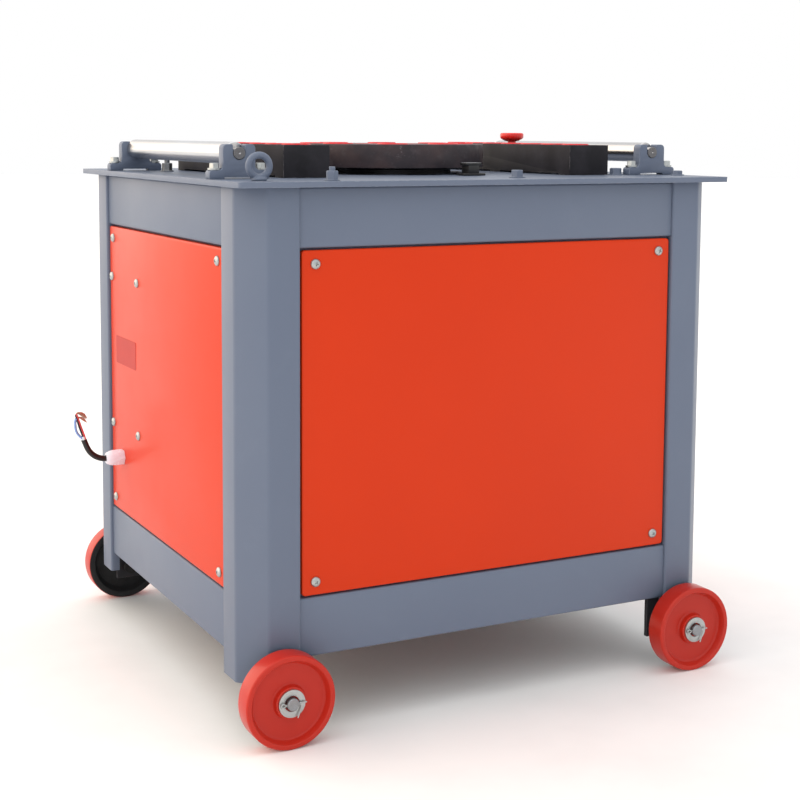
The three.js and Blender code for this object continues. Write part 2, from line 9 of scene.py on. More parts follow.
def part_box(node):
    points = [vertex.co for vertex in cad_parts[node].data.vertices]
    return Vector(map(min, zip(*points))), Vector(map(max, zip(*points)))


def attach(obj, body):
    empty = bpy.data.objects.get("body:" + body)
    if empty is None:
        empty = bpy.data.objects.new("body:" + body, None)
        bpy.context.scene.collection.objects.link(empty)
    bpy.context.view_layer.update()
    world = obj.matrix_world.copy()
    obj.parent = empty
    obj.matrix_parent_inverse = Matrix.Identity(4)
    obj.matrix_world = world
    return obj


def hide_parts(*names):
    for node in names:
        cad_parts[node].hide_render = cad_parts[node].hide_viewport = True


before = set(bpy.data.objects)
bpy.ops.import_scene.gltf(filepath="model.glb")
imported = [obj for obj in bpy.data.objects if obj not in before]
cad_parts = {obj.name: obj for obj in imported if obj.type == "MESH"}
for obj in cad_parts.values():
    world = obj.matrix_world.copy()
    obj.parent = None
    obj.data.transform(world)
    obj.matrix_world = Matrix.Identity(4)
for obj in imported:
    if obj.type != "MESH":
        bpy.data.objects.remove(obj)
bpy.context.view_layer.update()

bl_info = {
    "name": "Rebar bender",
    "version": (1, 0, 0),
    "blender": (4, 5, 0),
    "location": "3D View > Sidebar > Bender",
    "description": "A rebar bending machine on four wheels, piece by piece, round its packed frame",
    "category": "Add Mesh",
}

MM = 0.001
TABLE_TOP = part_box("table_plate")[1].z
DISC_CENTRE = (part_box("working_disc")[0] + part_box("working_disc")[1]) / 2
DISC_HOLES = 8
BLOCK_HOLES = range(-3, 4)
BLOCK_PITCH = 72 * MM
CABLE_EXIT = (-0.438, 0.238, 0.333)
SIDES = {
    # each side of the cabinet: quarter turns from the front, and the way it faces
    "front": (0, Vector((0, -1, 0))),
    "right": (1, Vector((1, 0, 0))),
    "rear": (2, Vector((0, 1, 0))),
    "left": (3, Vector((-1, 0, 0))),
}


def linear(hex_colour):
    """An sRGB hex colour as linear red, green and blue."""
    parts = [int(hex_colour[i:i + 2], 16) / 255 for i in (1, 3, 5)]
    return tuple(c / 12.92 if c <= 0.04045 else ((c + 0.055) / 1.055) ** 2.4 for c in parts)


def length(name, description, millimetres):
    return bpy.props.FloatProperty(
        name=name, description=description, default=millimetres * MM, min=0, precision=5,
        unit="LENGTH")


def colour(name, description, hex_colour):
    return bpy.props.FloatVectorProperty(
        name=name, description=description, default=linear(hex_colour), size=3, min=0, max=1,
        subtype="COLOR")


# ---------------------------------------------------------------- what a user would change
class BenderSizes(bpy.types.PropertyGroup):
    sheet: length("Sheet", "Thickness of the folded posts and rails", 3)
    bend: length("Bend radius", "Outer radius of a fold in the cabinet's sheet", 4)
    post_chamfer: length("Post chamfer", "Leg of the flat across each corner", 41)
    post_return: length("Post return", "Lip folded inwards at the opening", 17)
    rail_lip: length("Rail lip", "Lip that a panel is screwed to", 25)
    rail_step: length("Rail step", "How far the lip stands behind the rail's face", 12.3)
    panel_sheet: length("Panel sheet", "Thickness of a panel", 2)
    panel_corner: length("Panel corner", "Radius of a panel's corners", 6)
    screw_head: length("Screw head", "Diameter of the pan heads on the panels", 16.5)
    cable_diameter: length("Cable", "Outer diameter of the supply cable", 11)
    block_hole: length("Block hole", "Radius of a pin hole in the fixed blocks", 15)
    disc_hole: length("Disc hole", "Radius of a pin hole in the working disc", 18)
    disc_hole_circle: length("Hole circle", "Radius of the circle of the disc's pin holes", 135)
    paint_ring: length("Paint ring", "Width of the red ring painted round a pin hole", 12)
    shaft_ring: length("Shaft ring", "Inner radius of the ring painted round the shaft", 34)
    shaft_paint: length("Shaft paint", "Width of the ring painted round the shaft", 28)


class BenderColours(bpy.types.PropertyGroup):
    slate: colour("Slate", "Enamel on the cabinet, the table and the brackets", "#616b7f")
    orange: colour("Orange", "Powder coat on the panels", "#d23503")
    wheel_red: colour("Wheel red", "Enamel on the wheels", "#c62b1d")
    black: colour("Black", "Enamel on the hole blocks and the gearbox", "#242327")
    disc: colour("Disc", "Oiled hot-rolled steel of the working disc", "#342d32")
    ring_red: colour("Ring red", "Brushed-on paint round the pin holes", "#e3202a")
    nylon: colour("Nylon", "Cable gland", "#f2f1fb")
    button_red: colour("Button red", "Cap of the stop button", "#e2241d")


# ---------------------------------------------------------------- modelling by hand
def deselect():
    if bpy.context.mode != "OBJECT":
        bpy.ops.object.mode_set(mode="OBJECT")
    bpy.ops.object.select_all(action="DESELECT")


def take(piece):
    """Makes a piece the only selected and active one."""
    deselect()
    piece.select_set(True)
    bpy.context.view_layer.objects.active = piece


def edit(piece):
    take(piece)
    bpy.ops.object.mode_set(mode="EDIT")


def pick(piece, kind, test):
    """In edit mode, selects only the verts, edges or faces that pass the test."""
    bpy.ops.mesh.select_mode(type={"verts": "VERT", "edges": "EDGE", "faces": "FACE"}[kind])
    bpy.ops.mesh.select_all(action="DESELECT")
    mesh = bmesh.from_edit_mesh(piece.data)
    for element in getattr(mesh, kind):
        if test(element):
            element.select_set(True)
    mesh.select_flush_mode()
    bmesh.update_edit_mesh(piece.data)


def along(edge, axis):
    """True if an edge runs along a direction."""
    run = (edge.verts[1].co - edge.verts[0].co).normalized()
    return abs(run.dot(axis)) > 0.999


def drawn(name, points):
    """A chain of edges drawn point by point; the piece is left in edit mode."""
    deselect()
    bpy.ops.mesh.primitive_plane_add(size=MM)
    piece = bpy.context.object
    piece.name = piece.data.name = name
    bpy.ops.object.mode_set(mode="EDIT")
    bpy.ops.mesh.select_mode(type="VERT")
    bpy.ops.mesh.select_all(action="SELECT")
    bpy.ops.mesh.merge(type="CENTER")
    bpy.ops.transform.translate(value=points[0])
    for start, end in zip(points, points[1:]):
        bpy.ops.mesh.extrude_region_move(TRANSFORM_OT_translate={"value": end - start})
    return piece


def close_up(piece):
    """Merges doubles and turns every face outwards."""
    edit(piece)
    bpy.ops.mesh.select_all(action="SELECT")
    bpy.ops.mesh.remove_doubles(threshold=0.002 * MM)
    bpy.ops.mesh.normals_make_consistent(inside=False)
    deselect()
    return piece


def turned(name, profile, steps=48):
    """A profile of (radius, height) in millimetres, spun round Z. It ends on the axis or on itself."""
    piece = drawn(name, [Vector((radius, 0, height)) * MM for radius, height in profile])
    if profile[0][0] > 0:
        pick(piece, "verts", lambda v: len(v.link_edges) == 1)
        bpy.ops.mesh.edge_face_add()
    bpy.ops.mesh.select_all(action="SELECT")
    bpy.ops.mesh.spin(steps=steps, angle=2 * math.pi, center=(0, 0, 0), axis=(0, 0, 1))
    return close_up(piece)


def extruded(name, outline, run):
    """A closed outline of points in metres, filled and pulled out along run."""
    piece = drawn(name, outline)
    bpy.ops.mesh.select_all(action="SELECT")
    bpy.ops.mesh.edge_face_add()
    bpy.ops.mesh.select_all(action="SELECT")
    bpy.ops.mesh.extrude_region_move(TRANSFORM_OT_translate={"value": run})
    return close_up(piece)


def folded(name, path, run, bend):
    """A strip of sheet metal: its outer side follows the path and it is pulled out along run."""
    piece = drawn(name, path)
    bpy.ops.mesh.select_all(action="SELECT")
    bpy.ops.mesh.extrude_region_move(TRANSFORM_OT_translate={"value": run})
    way = run.normalized()
    pick(piece, "edges", lambda e: along(e, way) and len(e.link_faces) == 2)
    bpy.ops.mesh.bevel(offset=bend, offset_type="OFFSET", segments=4)
    bpy.ops.mesh.select_all(action="SELECT")
    bpy.ops.mesh.normals_make_consistent(inside=False)
    return piece


def slab(name, low, high):
    """A block between two corners, in metres, as a start for shaping."""
    deselect()
    size = high - low
    bpy.ops.mesh.primitive_cube_add(size=1, location=(low + high) / 2, scale=size)
    piece = bpy.context.object
    piece.name = piece.data.name = name
    bpy.ops.object.transform_apply(location=True, rotation=True, scale=True)
    return piece


def cylinder(name, vertices, radius, depth, middle):
    """An upright cylinder or prism, in metres, as a start for shaping."""
    deselect()
    bpy.ops.mesh.primitive_cylinder_add(
        vertices=vertices, radius=radius, depth=depth, location=middle)
    piece = bpy.context.object
    piece.name = piece.data.name = name
    bpy.ops.object.transform_apply(location=True, rotation=True, scale=True)
    return piece


def apply_modifier(piece, kind, **settings):
    take(piece)
    modifier = piece.modifiers.new(kind.lower(), kind)
    for key, value in settings.items():
        setattr(modifier, key, value)
    bpy.ops.object.modifier_apply(modifier=modifier.name)
    return piece


def rounded(piece, radius, segments=3, angle=40):
    """Rounds every edge sharper than the angle."""
    return apply_modifier(
        piece, "BEVEL", width=radius, segments=segments, limit_method="ANGLE",
        angle_limit=math.radians(angle))


def rounded_along(piece, axis, radius, segments):
    """Rounds only the edges that run along a direction."""
    edit(piece)
    pick(piece, "edges", lambda e: along(e, axis))
    bpy.ops.mesh.bevel(offset=radius, segments=segments)
    deselect()
    return piece


def combined(piece, tool, operation="DIFFERENCE"):
    """Cuts, joins or intersects a piece with a tool, and throws the tool away."""
    apply_modifier(piece, "BOOLEAN", operation=operation, solver="EXACT", object=tool)
    bpy.data.objects.remove(tool)
    return piece


def moved(piece, place, turn=(0, 0, 0)):
    """Turns a piece about the origin, moves it and puts its place in its mesh."""
    take(piece)
    piece.rotation_euler = turn
    piece.location = place
    bpy.ops.object.transform_apply(location=True, rotation=True, scale=True)
    return piece


def copy_of(piece, name, place=(0, 0, 0), turn=(0, 0, 0)):
    """A copy with its own mesh, turned about the origin and moved."""
    copy = piece.copy()
    copy.data = piece.data.copy()
    copy.name = copy.data.name = name
    bpy.context.scene.collection.objects.link(copy)
    return moved(copy, place, turn)


def copy_of_node(node, name):
    """A copy of a CAD node with its triangles merged into flats."""
    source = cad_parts[node]
    copy = bpy.data.objects.new(name, source.data.copy())
    copy.data.name = name
    bpy.context.scene.collection.objects.link(copy)
    edit(copy)
    bpy.ops.mesh.select_all(action="SELECT")
    bpy.ops.mesh.remove_doubles(threshold=0.01 * MM)
    bpy.ops.mesh.dissolve_limited(angle_limit=math.radians(0.5))
    bpy.ops.mesh.normals_make_consistent(inside=False)
    deselect()
    return copy


def hand_over(piece, slot, *nodes, body="machine", material=None, smooth=35):
    """Closes up and smooths a finished piece, gives it its finish, attaches it to its body and hides
    the CAD nodes it stands for.
    """
    if piece.type == "MESH":
        close_up(piece)
        take(piece)
        bpy.ops.object.shade_smooth_by_angle(angle=math.radians(smooth))
    piece.data.materials.clear()
    piece.data.materials.append(material or finish(slot))
    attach(piece, body)
    if nodes:
        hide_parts(*nodes)
    return piece


def second_finish(piece, material, test):
    """Gives the faces that pass the test a material of their own."""
    piece.data.materials.append(material)
    edit(piece)
    pick(piece, "faces", test)
    piece.active_material_index = len(piece.data.materials) - 1
    bpy.ops.object.material_slot_assign()
    deselect()


# ---------------------------------------------------------------- finishes
def add_node(tree, kind, sockets=None, **settings):
    """Adds a node with its settings. A socket is given a value, or another node's output."""
    node = tree.nodes.new(kind)
    for key, value in settings.items():
        setattr(node, key, value)
    for key, value in (sockets or {}).items():
        if isinstance(value, bpy.types.NodeSocket):
            tree.links.new(value, node.inputs[key])
        else:
            node.inputs[key].default_value = value
    return node


def tone(base):
    """A hex colour, or one of the user's colours by its name, as linear red, green and blue."""
    return linear(base) if base[0] == "#" else getattr(bpy.context.scene.bender_colours, base)


def blank_finish(name, base, metallic, roughness, shine=0.5):
    """A new material: its node tree, its shader and the place on the piece, in metres."""
    material = bpy.data.materials.new(name)
    material.use_nodes = True
    material.diffuse_color = (*base, 1)
    tree = material.node_tree
    tree.nodes.clear()
    shader = add_node(tree, "ShaderNodeBsdfPrincipled", {
        "Base Color": (*base, 1), "Metallic": metallic, "Roughness": roughness,
        "Specular IOR Level": shine})
    add_node(tree, "ShaderNodeOutputMaterial", {"Surface": shader.outputs["BSDF"]})
    place = add_node(tree, "ShaderNodeTexCoord").outputs["Object"]
    return material, tree, shader, place


def patches(tree, place, size, low=0.0, high=1.0, start=0.4, end=0.6, detail=4, stretch=None):
    """Cloudy patches about size millimetres across, as a number from low to high."""
    if stretch is not None:
        place = add_node(tree, "ShaderNodeMapping", {"Vector": place, "Scale": stretch}).outputs[0]
    cloud = add_node(tree, "ShaderNodeTexNoise", {
        "Vector": place, "Scale": 1 / (size * MM), "Detail": detail, "Roughness": 0.6})
    return add_node(tree, "ShaderNodeMapRange", {
        "Value": cloud.outputs["Fac"], "From Min": start, "From Max": end,
        "To Min": low, "To Max": high}).outputs["Result"]


def edge_share(tree, place, radius, most):
    """Up to most along sharp edges, broken up by a grain, as where paint is rubbed thin."""
    soft = add_node(tree, "ShaderNodeBevel", {"Radius": radius * MM}, samples=4)
    true = add_node(tree, "ShaderNodeNewGeometry")
    facing = add_node(tree, "ShaderNodeVectorMath", {
        0: soft.outputs["Normal"], 1: true.outputs["Normal"]}, operation="DOT_PRODUCT")
    turn = add_node(tree, "ShaderNodeMapRange", {
        "Value": facing.outputs["Value"], "From Min": 0.995, "From Max": 0.88, "To Max": most})
    return patches(tree, place, 9, high=turn.outputs["Result"], start=0.42, end=0.62)


def coloured(tree, shader, base, *layers):
    """Lays colours over a base, each with its share from 0 to 1, as the shader's colour."""
    under = (*base, 1)
    for over, share in layers:
        under = add_node(
            tree, "ShaderNodeMix", {0: share, 6: under, 7: (*over, 1)},
            data_type="RGBA").outputs[2]
    tree.links.new(under, shader.inputs["Base Color"])


def relief(tree, shader, height, depth, strength):
    """Raises and sinks the surface by up to depth millimetres."""
    bump = add_node(tree, "ShaderNodeBump", {
        "Height": height, "Distance": depth * MM, "Strength": strength})
    tree.links.new(bump.outputs["Normal"], shader.inputs["Normal"])


def sprayed(name, base, dull, roughness, peel, rubbed=None, edge=0.5, dust=0.3, shine=0.3):
    """Paint sprayed on metal: uneven tone, orange peel, dusty patches and edges rubbed thin."""
    base, dull = tone(base), tone(dull)
    material, tree, shader, place = blank_finish(name, base, 0, roughness, shine)
    layers = [(dull, patches(tree, place, 320, 0, 0.6, 0, 1, detail=2))]
    if dust:
        layers.append((dull, patches(tree, place, 45, 0, dust, 0.55, 0.85, detail=8)))
    if rubbed:
        layers.append((tone(rubbed), edge_share(tree, place, 1.6, edge)))
    coloured(tree, shader, base, *layers)
    gloss = patches(tree, place, 120, roughness - 0.04, roughness + 0.08, 0, 1, detail=2)
    tree.links.new(gloss, shader.inputs["Roughness"])
    relief(tree, shader, patches(tree, place, peel, start=0, end=1, detail=1), 0.02, 0.15)
    return material


def bare_metal(name, base, stain, roughness, grain, stretch=None, metallic=1.0, marks=0.5):
    """Machined or rolled metal: tool marks along the stretched grain, stains and dull patches."""
    base = tone(base)
    material, tree, shader, place = blank_finish(name, base, metallic, roughness)
    stains = patches(tree, place, 35, 0, 0.6, 0.5, 0.75, detail=5)
    lines = patches(tree, place, grain, start=0.3, end=0.7, detail=3, stretch=stretch)
    marked = add_node(tree, "ShaderNodeMath", {0: lines, 1: marks}, operation="MULTIPLY").outputs[0]
    coloured(tree, shader, base, (tone(stain), stains), ([c * 0.7 for c in base], marked))
    dull = patches(tree, place, 20, roughness, roughness + 0.12)
    gloss = add_node(
        tree, "ShaderNodeMath", {0: lines, 1: 0.1, 2: dull}, operation="MULTIPLY_ADD").outputs[0]
    tree.links.new(gloss, shader.inputs["Roughness"])
    relief(tree, shader, lines, 0.03, 0.3)
    return material


def moulded(name, base, roughness, grain, shade=0.85, milk=0.0):
    """Moulded plastic or rubber: an even tone, a fine matt grain and, with milk, some depth."""
    base = tone(base)
    material, tree, shader, place = blank_finish(name, base, 0, roughness)
    shader.inputs["Subsurface Weight"].default_value = milk
    shader.inputs["Subsurface Radius"].default_value = (2 * MM, 2 * MM, 2 * MM)
    shaded = patches(tree, place, 12, start=0.35, end=0.7)
    coloured(tree, shader, base, ([c * shade for c in base], shaded))
    gloss = patches(tree, place, 8, roughness - 0.05, roughness + 0.1)
    tree.links.new(gloss, shader.inputs["Roughness"])
    relief(tree, shader, patches(tree, place, grain, start=0.3, end=0.7), 0.03, 0.4)
    return material


def painted_ring(tree, place, distance, hole, width):
    """1 on a hand-painted ring round a hole, ragged at its edges and scraped thin in places."""
    ragged = patches(tree, place, 9, -2.5 * MM, 2.5 * MM, 0.3, 0.7)
    wavy = add_node(tree, "ShaderNodeMath", {0: distance, 1: ragged}, operation="ADD").outputs[0]
    normal = add_node(tree, "ShaderNodeNewGeometry").outputs["Normal"]
    upward = add_node(tree, "ShaderNodeSeparateXYZ", {0: normal}).outputs["Z"]
    share = patches(tree, place, 16, 1, 0.25, 0.55, 0.72, detail=8)
    rim = hole + width
    for value, start, end in (
            (wavy, rim, rim - 1.2 * MM), (distance, hole - 3 * MM, hole - 2 * MM),
            (upward, 0.6, 0.9)):
        share = add_node(tree, "ShaderNodeMapRange", {
            "Value": value, "From Min": start, "From Max": end, "To Max": share}).outputs[0]
    return share


def distance_to_disc_holes(tree, place, circle):
    """Distance to the nearest of the holes on the disc's circle, and distance to its axis."""
    step = 2 * math.pi / DISC_HOLES
    flat = add_node(
        tree, "ShaderNodeVectorMath", {0: place, 1: (1, 1, 0), 2: (-DISC_CENTRE.x, -DISC_CENTRE.y, 0)},
        operation="MULTIPLY_ADD").outputs[0]
    far = add_node(tree, "ShaderNodeVectorMath", {0: flat}, operation="LENGTH").outputs["Value"]
    parts = add_node(tree, "ShaderNodeSeparateXYZ", {0: flat}).outputs
    off = add_node(
        tree, "ShaderNodeMath", {0: parts["Y"], 1: parts["X"]}, operation="ARCTAN2").outputs[0]
    for operation, amount in (("ADD", 2 * math.pi), ("MODULO", step), ("SUBTRACT", step / 2)):
        off = add_node(tree, "ShaderNodeMath", {0: off, 1: amount}, operation=operation).outputs[0]
    ways = [add_node(tree, "ShaderNodeMath", {0: off}, operation=operation).outputs[0]
            for operation in ("COSINE", "SINE")]
    out, across = [add_node(
        tree, "ShaderNodeMath", {0: far, 1: way, 2: start}, operation="MULTIPLY_ADD").outputs[0]
        for way, start in zip(ways, (-circle, 0.0))]
    both = add_node(tree, "ShaderNodeCombineXYZ", {"X": out, "Y": across}).outputs[0]
    hole = add_node(tree, "ShaderNodeVectorMath", {0: both}, operation="LENGTH").outputs["Value"]
    return hole, far


def distance_to_block_holes(tree, place, middle_x):
    """Distance to the nearest of the holes in a row along Y."""
    start = 20.5 * BLOCK_PITCH - DISC_CENTRE.y
    flat = add_node(
        tree, "ShaderNodeVectorMath", {0: place, 1: (1, 1, 0), 2: (-middle_x, start, 0)},
        operation="MULTIPLY_ADD").outputs[0]
    parts = add_node(tree, "ShaderNodeSeparateXYZ", {0: flat}).outputs
    off = parts["Y"]
    for operation, amount in (("MODULO", BLOCK_PITCH), ("SUBTRACT", BLOCK_PITCH / 2)):
        off = add_node(tree, "ShaderNodeMath", {0: off, 1: amount}, operation=operation).outputs[0]
    both = add_node(tree, "ShaderNodeCombineXYZ", {"X": parts["X"], "Y": off}).outputs[0]
    return add_node(tree, "ShaderNodeVectorMath", {0: both}, operation="LENGTH").outputs["Value"]


def ringed_black_enamel(name, middle_x):
    # the blocks' black enamel, with red rings brushed round the pin holes
    sizes = bpy.context.scene.bender_sizes
    black = tone("black")
    material, tree, shader, place = blank_finish(name, black, 0, 0.55, 0.15)
    distance = distance_to_block_holes(tree, place, middle_x)
    coloured(
        tree, shader, black,
        (linear("#3b393f"), patches(tree, place, 60, 0, 0.7, 0.4, 0.7)),
        (linear("#807d80"), edge_share(tree, place, 1.8, 0.8)),
        (tone("ring_red"), painted_ring(tree, place, distance, sizes.block_hole, sizes.paint_ring)))
    tree.links.new(patches(tree, place, 30, 0.52, 0.66, 0.3, 0.7), shader.inputs["Roughness"])
    relief(tree, shader, patches(tree, place, 3, start=0.2, end=0.8), 0.04, 0.3)
    return material


def rolled_disc_steel(name):
    # oiled hot-rolled steel: brown-black with pale scuffs, and red rings round the pin holes
    sizes = bpy.context.scene.bender_sizes
    material, tree, shader, place = blank_finish(name, tone("disc"), 0.25, 0.5)
    scuffed = patches(tree, place, 70, 0, 0.75, 0.5, 0.62)
    hole, far = distance_to_disc_holes(tree, place, sizes.disc_hole_circle)
    rings = painted_ring(tree, place, hole, sizes.disc_hole, sizes.paint_ring)
    middle = painted_ring(tree, place, far, sizes.shaft_ring, sizes.shaft_paint)
    red = add_node(tree, "ShaderNodeMath", {0: rings, 1: middle}, operation="MAXIMUM").outputs[0]
    coloured(
        tree, shader, tone("disc"),
        (linear("#4a3a3b"), patches(tree, place, 55, 0, 0.8, 0.4, 0.65)),
        (linear("#5a5256"), patches(tree, place, 18, 0, 0.5, 0.55, 0.75, 8)),
        (linear("#8f888a"), patches(tree, place, 7, 0, scuffed, 0.62, 0.7, 10, (1, 1, 2.5))),
        (linear("#8b8688"), edge_share(tree, place, 1.8, 0.8)),
        (tone("ring_red"), red))
    tree.links.new(patches(tree, place, 24, 0.38, 0.66, 0.3, 0.7), shader.inputs["Roughness"])
    relief(tree, shader, patches(tree, place, 5, start=0.2, end=0.8, detail=8), 0.12, 0.5)
    return material


def smooth_finish(name, base, metallic, roughness, cloudy, *cloud, shine=0.5):
    """An even finish without any grain, with faint clouds of a second colour."""
    material, tree, shader, place = blank_finish(name, linear(base), metallic, roughness, shine)
    coloured(tree, shader, linear(base), (linear(cloudy), patches(tree, place, *cloud)))
    return material


def white_studio():
    # an even white room with two soft boxes: a large one behind on the left, one overhead
    world = bpy.data.worlds.new("white_studio")
    world.use_nodes = True
    tree = world.node_tree
    sky = next(n for n in tree.nodes if n.type == "BACKGROUND")
    way = add_node(tree, "ShaderNodeTexCoord").outputs["Generated"]
    total, hue = 1.0, (1, 1, 1, 1)
    for towards, start, end, strength, tint in (
            ((-0.78, 0.6, 0.2), 0.5, 0.85, 1.5, (1, 0.87, 0.73, 1)),
            ((0, 0, 1), 0.8, 0.95, 0.8, (1, 1, 1, 1))):
        facing = add_node(tree, "ShaderNodeVectorMath", {
            0: way, 1: Vector(towards).normalized()}, operation="DOT_PRODUCT").outputs["Value"]
        share = add_node(tree, "ShaderNodeMapRange", {
            "Value": facing, "From Min": start, "From Max": end},
            interpolation_type="SMOOTHSTEP").outputs["Result"]
        total = add_node(tree, "ShaderNodeMath", {
            0: share, 1: strength, 2: total}, operation="MULTIPLY_ADD").outputs[0]
        hue = add_node(
            tree, "ShaderNodeMix", {0: share, 6: hue, 7: tint}, data_type="RGBA").outputs[2]
    tree.links.new(hue, sky.inputs["Color"])
    tree.links.new(total, sky.inputs["Strength"])
    return world


FINISHES = {
    # air-dried enamel sprayed on sheet steel: a cool, slightly uneven grey with a low shine
    "slate_paint": partial(
        sprayed, "slate_enamel", "slate", "#6f798a", 0.4, peel=2.4, rubbed="#a3a9b4", edge=0.7),
    # powder coat baked on thin sheet: a deep, even orange-red that mirrors the light softly
    "orange_paint": partial(
        sprayed, "orange_powder_coat", "orange", "#c42f05", 0.3, peel=2.2, dust=0, shine=0.2),
    # thick glossy enamel on a cast wheel: deep red with paler, scuffed high spots
    "red_enamel": partial(
        sprayed, "wheel_enamel", "wheel_red", "#96200f", 0.3, peel=3.5, rubbed="#d8614f", edge=0.6),
    # thin black enamel: near black, dull, greyer where it is handled
    "black_paint": partial(
        sprayed, "black_enamel", "black", "#36353a", 0.42, peel=3.0, rubbed="#6d6b70", edge=0.8),
    # enamel brushed on the collar of a pin hole: bright red, chipped to grey along its edges
    "ring_paint": partial(
        sprayed, "ring_enamel", "ring_red", "#b81c20", 0.35, peel=3, rubbed="#8d8488", edge=0.9),
    # the motor maker's blue enamel over cast fins
    "motor_paint": partial(
        sprayed, "motor_enamel", "#3d5a73", "#4a5f70", 0.4, peel=2.5, rubbed="#8a99a5"),
    "disc_steel": partial(rolled_disc_steel, "rolled_disc_steel"),
    # turned and polished bar: a soft mirror along its length, with faint brown oil stains
    "bright_steel": partial(
        smooth_finish, "bright_roller_steel", "#c6c8cc", 1, 0.24,
        "#b3a493", 60, 0, 0.4, 0.4, 0.7, 3, (1, 0.2, 1)),
    # plain turned steel: grey, with the grain left by the tool
    "machined_steel": partial(
        bare_metal, "turned_steel", "#9a9da1", "#7d756c", 0.34, grain=1.5),
    # the sawn end of a bar: darker than its turned side, faintly rusty
    "sawn_steel": partial(
        bare_metal, "sawn_steel", "#7e7d7f", "#6f5f52", 0.55, grain=2, metallic=0.6),
    # bright zinc on screws and washers: pale, faintly blue and slightly milky
    "zinc_plate": partial(
        bare_metal, "zinc_plate", "#b4b8b8", "#97998f", 0.28, grain=4, marks=0.2),
    # sand-cast iron, left rough: dark, dull and grainy
    "cast_iron": partial(
        bare_metal, "grey_iron", "#4d5257", "#5f4a3c", 0.62, grain=2.5, metallic=0.6),
    # unpainted cast back of a wheel: soft black with a grainy skin
    "black_casting": partial(
        bare_metal, "black_casting", "#1b1b1d", "#2a2626", 0.6, grain=3, metallic=0.1),
    # drawn copper wire, fresh from the stripper: pink-brown and shiny along the strands
    "copper_strand": partial(
        bare_metal, "copper_strand", "#cfb29e", "#a8836c", 0.35, grain=1, stretch=(4, 4, 0.4)),
    # vulcanised rubber: matt black with a dusty bloom
    "belt_rubber": partial(moulded, "belt_rubber", "#1b1b1c", 0.8, grain=2.0),
    # the cable's rubber sheath: black with a soft shine along its curve
    "cable_sheath": partial(moulded, "sheath_rubber", "#17171a", 0.42, grain=1.6),
    # injection-moulded nylon: milky white that lets a little light in
    "white_nylon": partial(
        moulded, "white_nylon", "nylon", 0.35, grain=1.0, shade=0.95, milk=0.08),
    # moulded ABS of the switch boxes: black with a fine spark-eroded grain
    "black_plastic": partial(moulded, "black_abs", "#1d1d1f", 0.4, grain=1.0),
    # the stop button's cap: bright, glossy red plastic
    "red_plastic": partial(moulded, "red_abs", "button_red", 0.25, grain=1.5, shade=0.92),
    # the blank label's vinyl: smooth and slightly darker than the panel
    "red_vinyl": partial(
        smooth_finish, "red_vinyl", "#b5281c", 0, 0.45, "#a9241a", 90, 0, 0.5, shine=0.25),
    # matt studio floor: an even off-white with a hardly visible mottle
    "pale_floor": partial(
        smooth_finish, "pale_floor", "#f4f4f3", 0, 0.7, "#efefee", 400, 0, 1),
}


def finish(slot):
    """The one material of a slot, made when it is first asked for."""
    maker = FINISHES[slot]
    return bpy.data.materials.get(maker.args[0]) or maker()


def core_pvc(name, hex_colour):
    # extruded PVC on a core: clean colour with a waxy shine
    return moulded(name, hex_colour, 0.3, grain=2.0, shade=0.9)


# ---------------------------------------------------------------- shapes used more than once
def extent(node):
    """The low corner, the high corner and the middle of a CAD node's box."""
    low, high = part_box(node)
    return low, high, (low + high) / 2


def arc(centre_x, centre_y, radius, start, end, steps=6):
    """Points on an arc, in the unit of its centre, with its angles in degrees."""
    angles = [math.radians(start + (end - start) * i / steps) for i in range(steps + 1)]
    return [(centre_x + radius * math.cos(a), centre_y + radius * math.sin(a)) for a in angles]


def tube(name, points, diameter, roundness=4, steps=6):
    """A round curve with closed ends that runs smoothly through points in metres."""
    curve = bpy.data.curves.new(name, "CURVE")
    curve.dimensions = "3D"
    curve.bevel_depth = diameter / 2
    curve.bevel_resolution = roundness
    curve.resolution_u = steps
    curve.use_fill_caps = True
    spline = curve.splines.new("BEZIER")
    spline.bezier_points.add(len(points) - 1)
    for knot, point in zip(spline.bezier_points, points):
        knot.co = point
        knot.handle_left_type = knot.handle_right_type = "AUTO"
    piece = bpy.data.objects.new(name, curve)
    bpy.context.scene.collection.objects.link(piece)
    return piece


def wire(name, points, diameter):
    """A wire or a core along points in metres, as a mesh."""
    take(tube(name, points, diameter))
    bpy.ops.object.convert(target="MESH")
    return bpy.context.object


def bar(name, radius, bottom, top, steps=32):
    """A plain round bar in millimetres, upright on the origin's axis."""
    return turned(name, [(0, bottom), (radius, bottom), (radius, top), (0, top)], steps)


def drill(radius, top, chamfer, steps):
    """A bit for a pin hole that comes out at top, in millimetres, and chamfers its edge."""
    return turned("drill", [
        (0, -5), (radius, -5), (radius, top - chamfer), (radius + chamfer + 2, top + 2), (0, top + 2),
    ], steps)


def hex_head(name, across_flats, height, washer=0.0):
    """A hexagon head or nut standing on z = 0, its corners chamfered, on a washer if one is asked."""
    across_corners = across_flats * 2 / math.sqrt(3)
    middle = (0, 0, (height / 2 + washer) * MM)
    head = cylinder(name, 6, across_corners / 2 * MM, height * MM, middle)
    half = across_flats / 2
    top = height + washer
    cone = turned(name + "_cone", [
        (0, washer - 1), (half * 1.3, washer - 1), (half * 1.3, top - half * 0.22),
        (half * 0.94, top + 0.02), (0, top + 0.02)], 32)
    combined(head, cone, "INTERSECT")
    if washer:
        plate = turned(name + "_washer", [
            (0, 0), (half * 1.45, 0), (half * 1.5, 0.3), (half * 1.5, washer - 0.3),
            (half * 1.45, washer + 0.01), (0, washer + 0.01)], 40)
        combined(head, plate, "UNION")
    return rounded(head, 0.35 * MM, 2, 50)


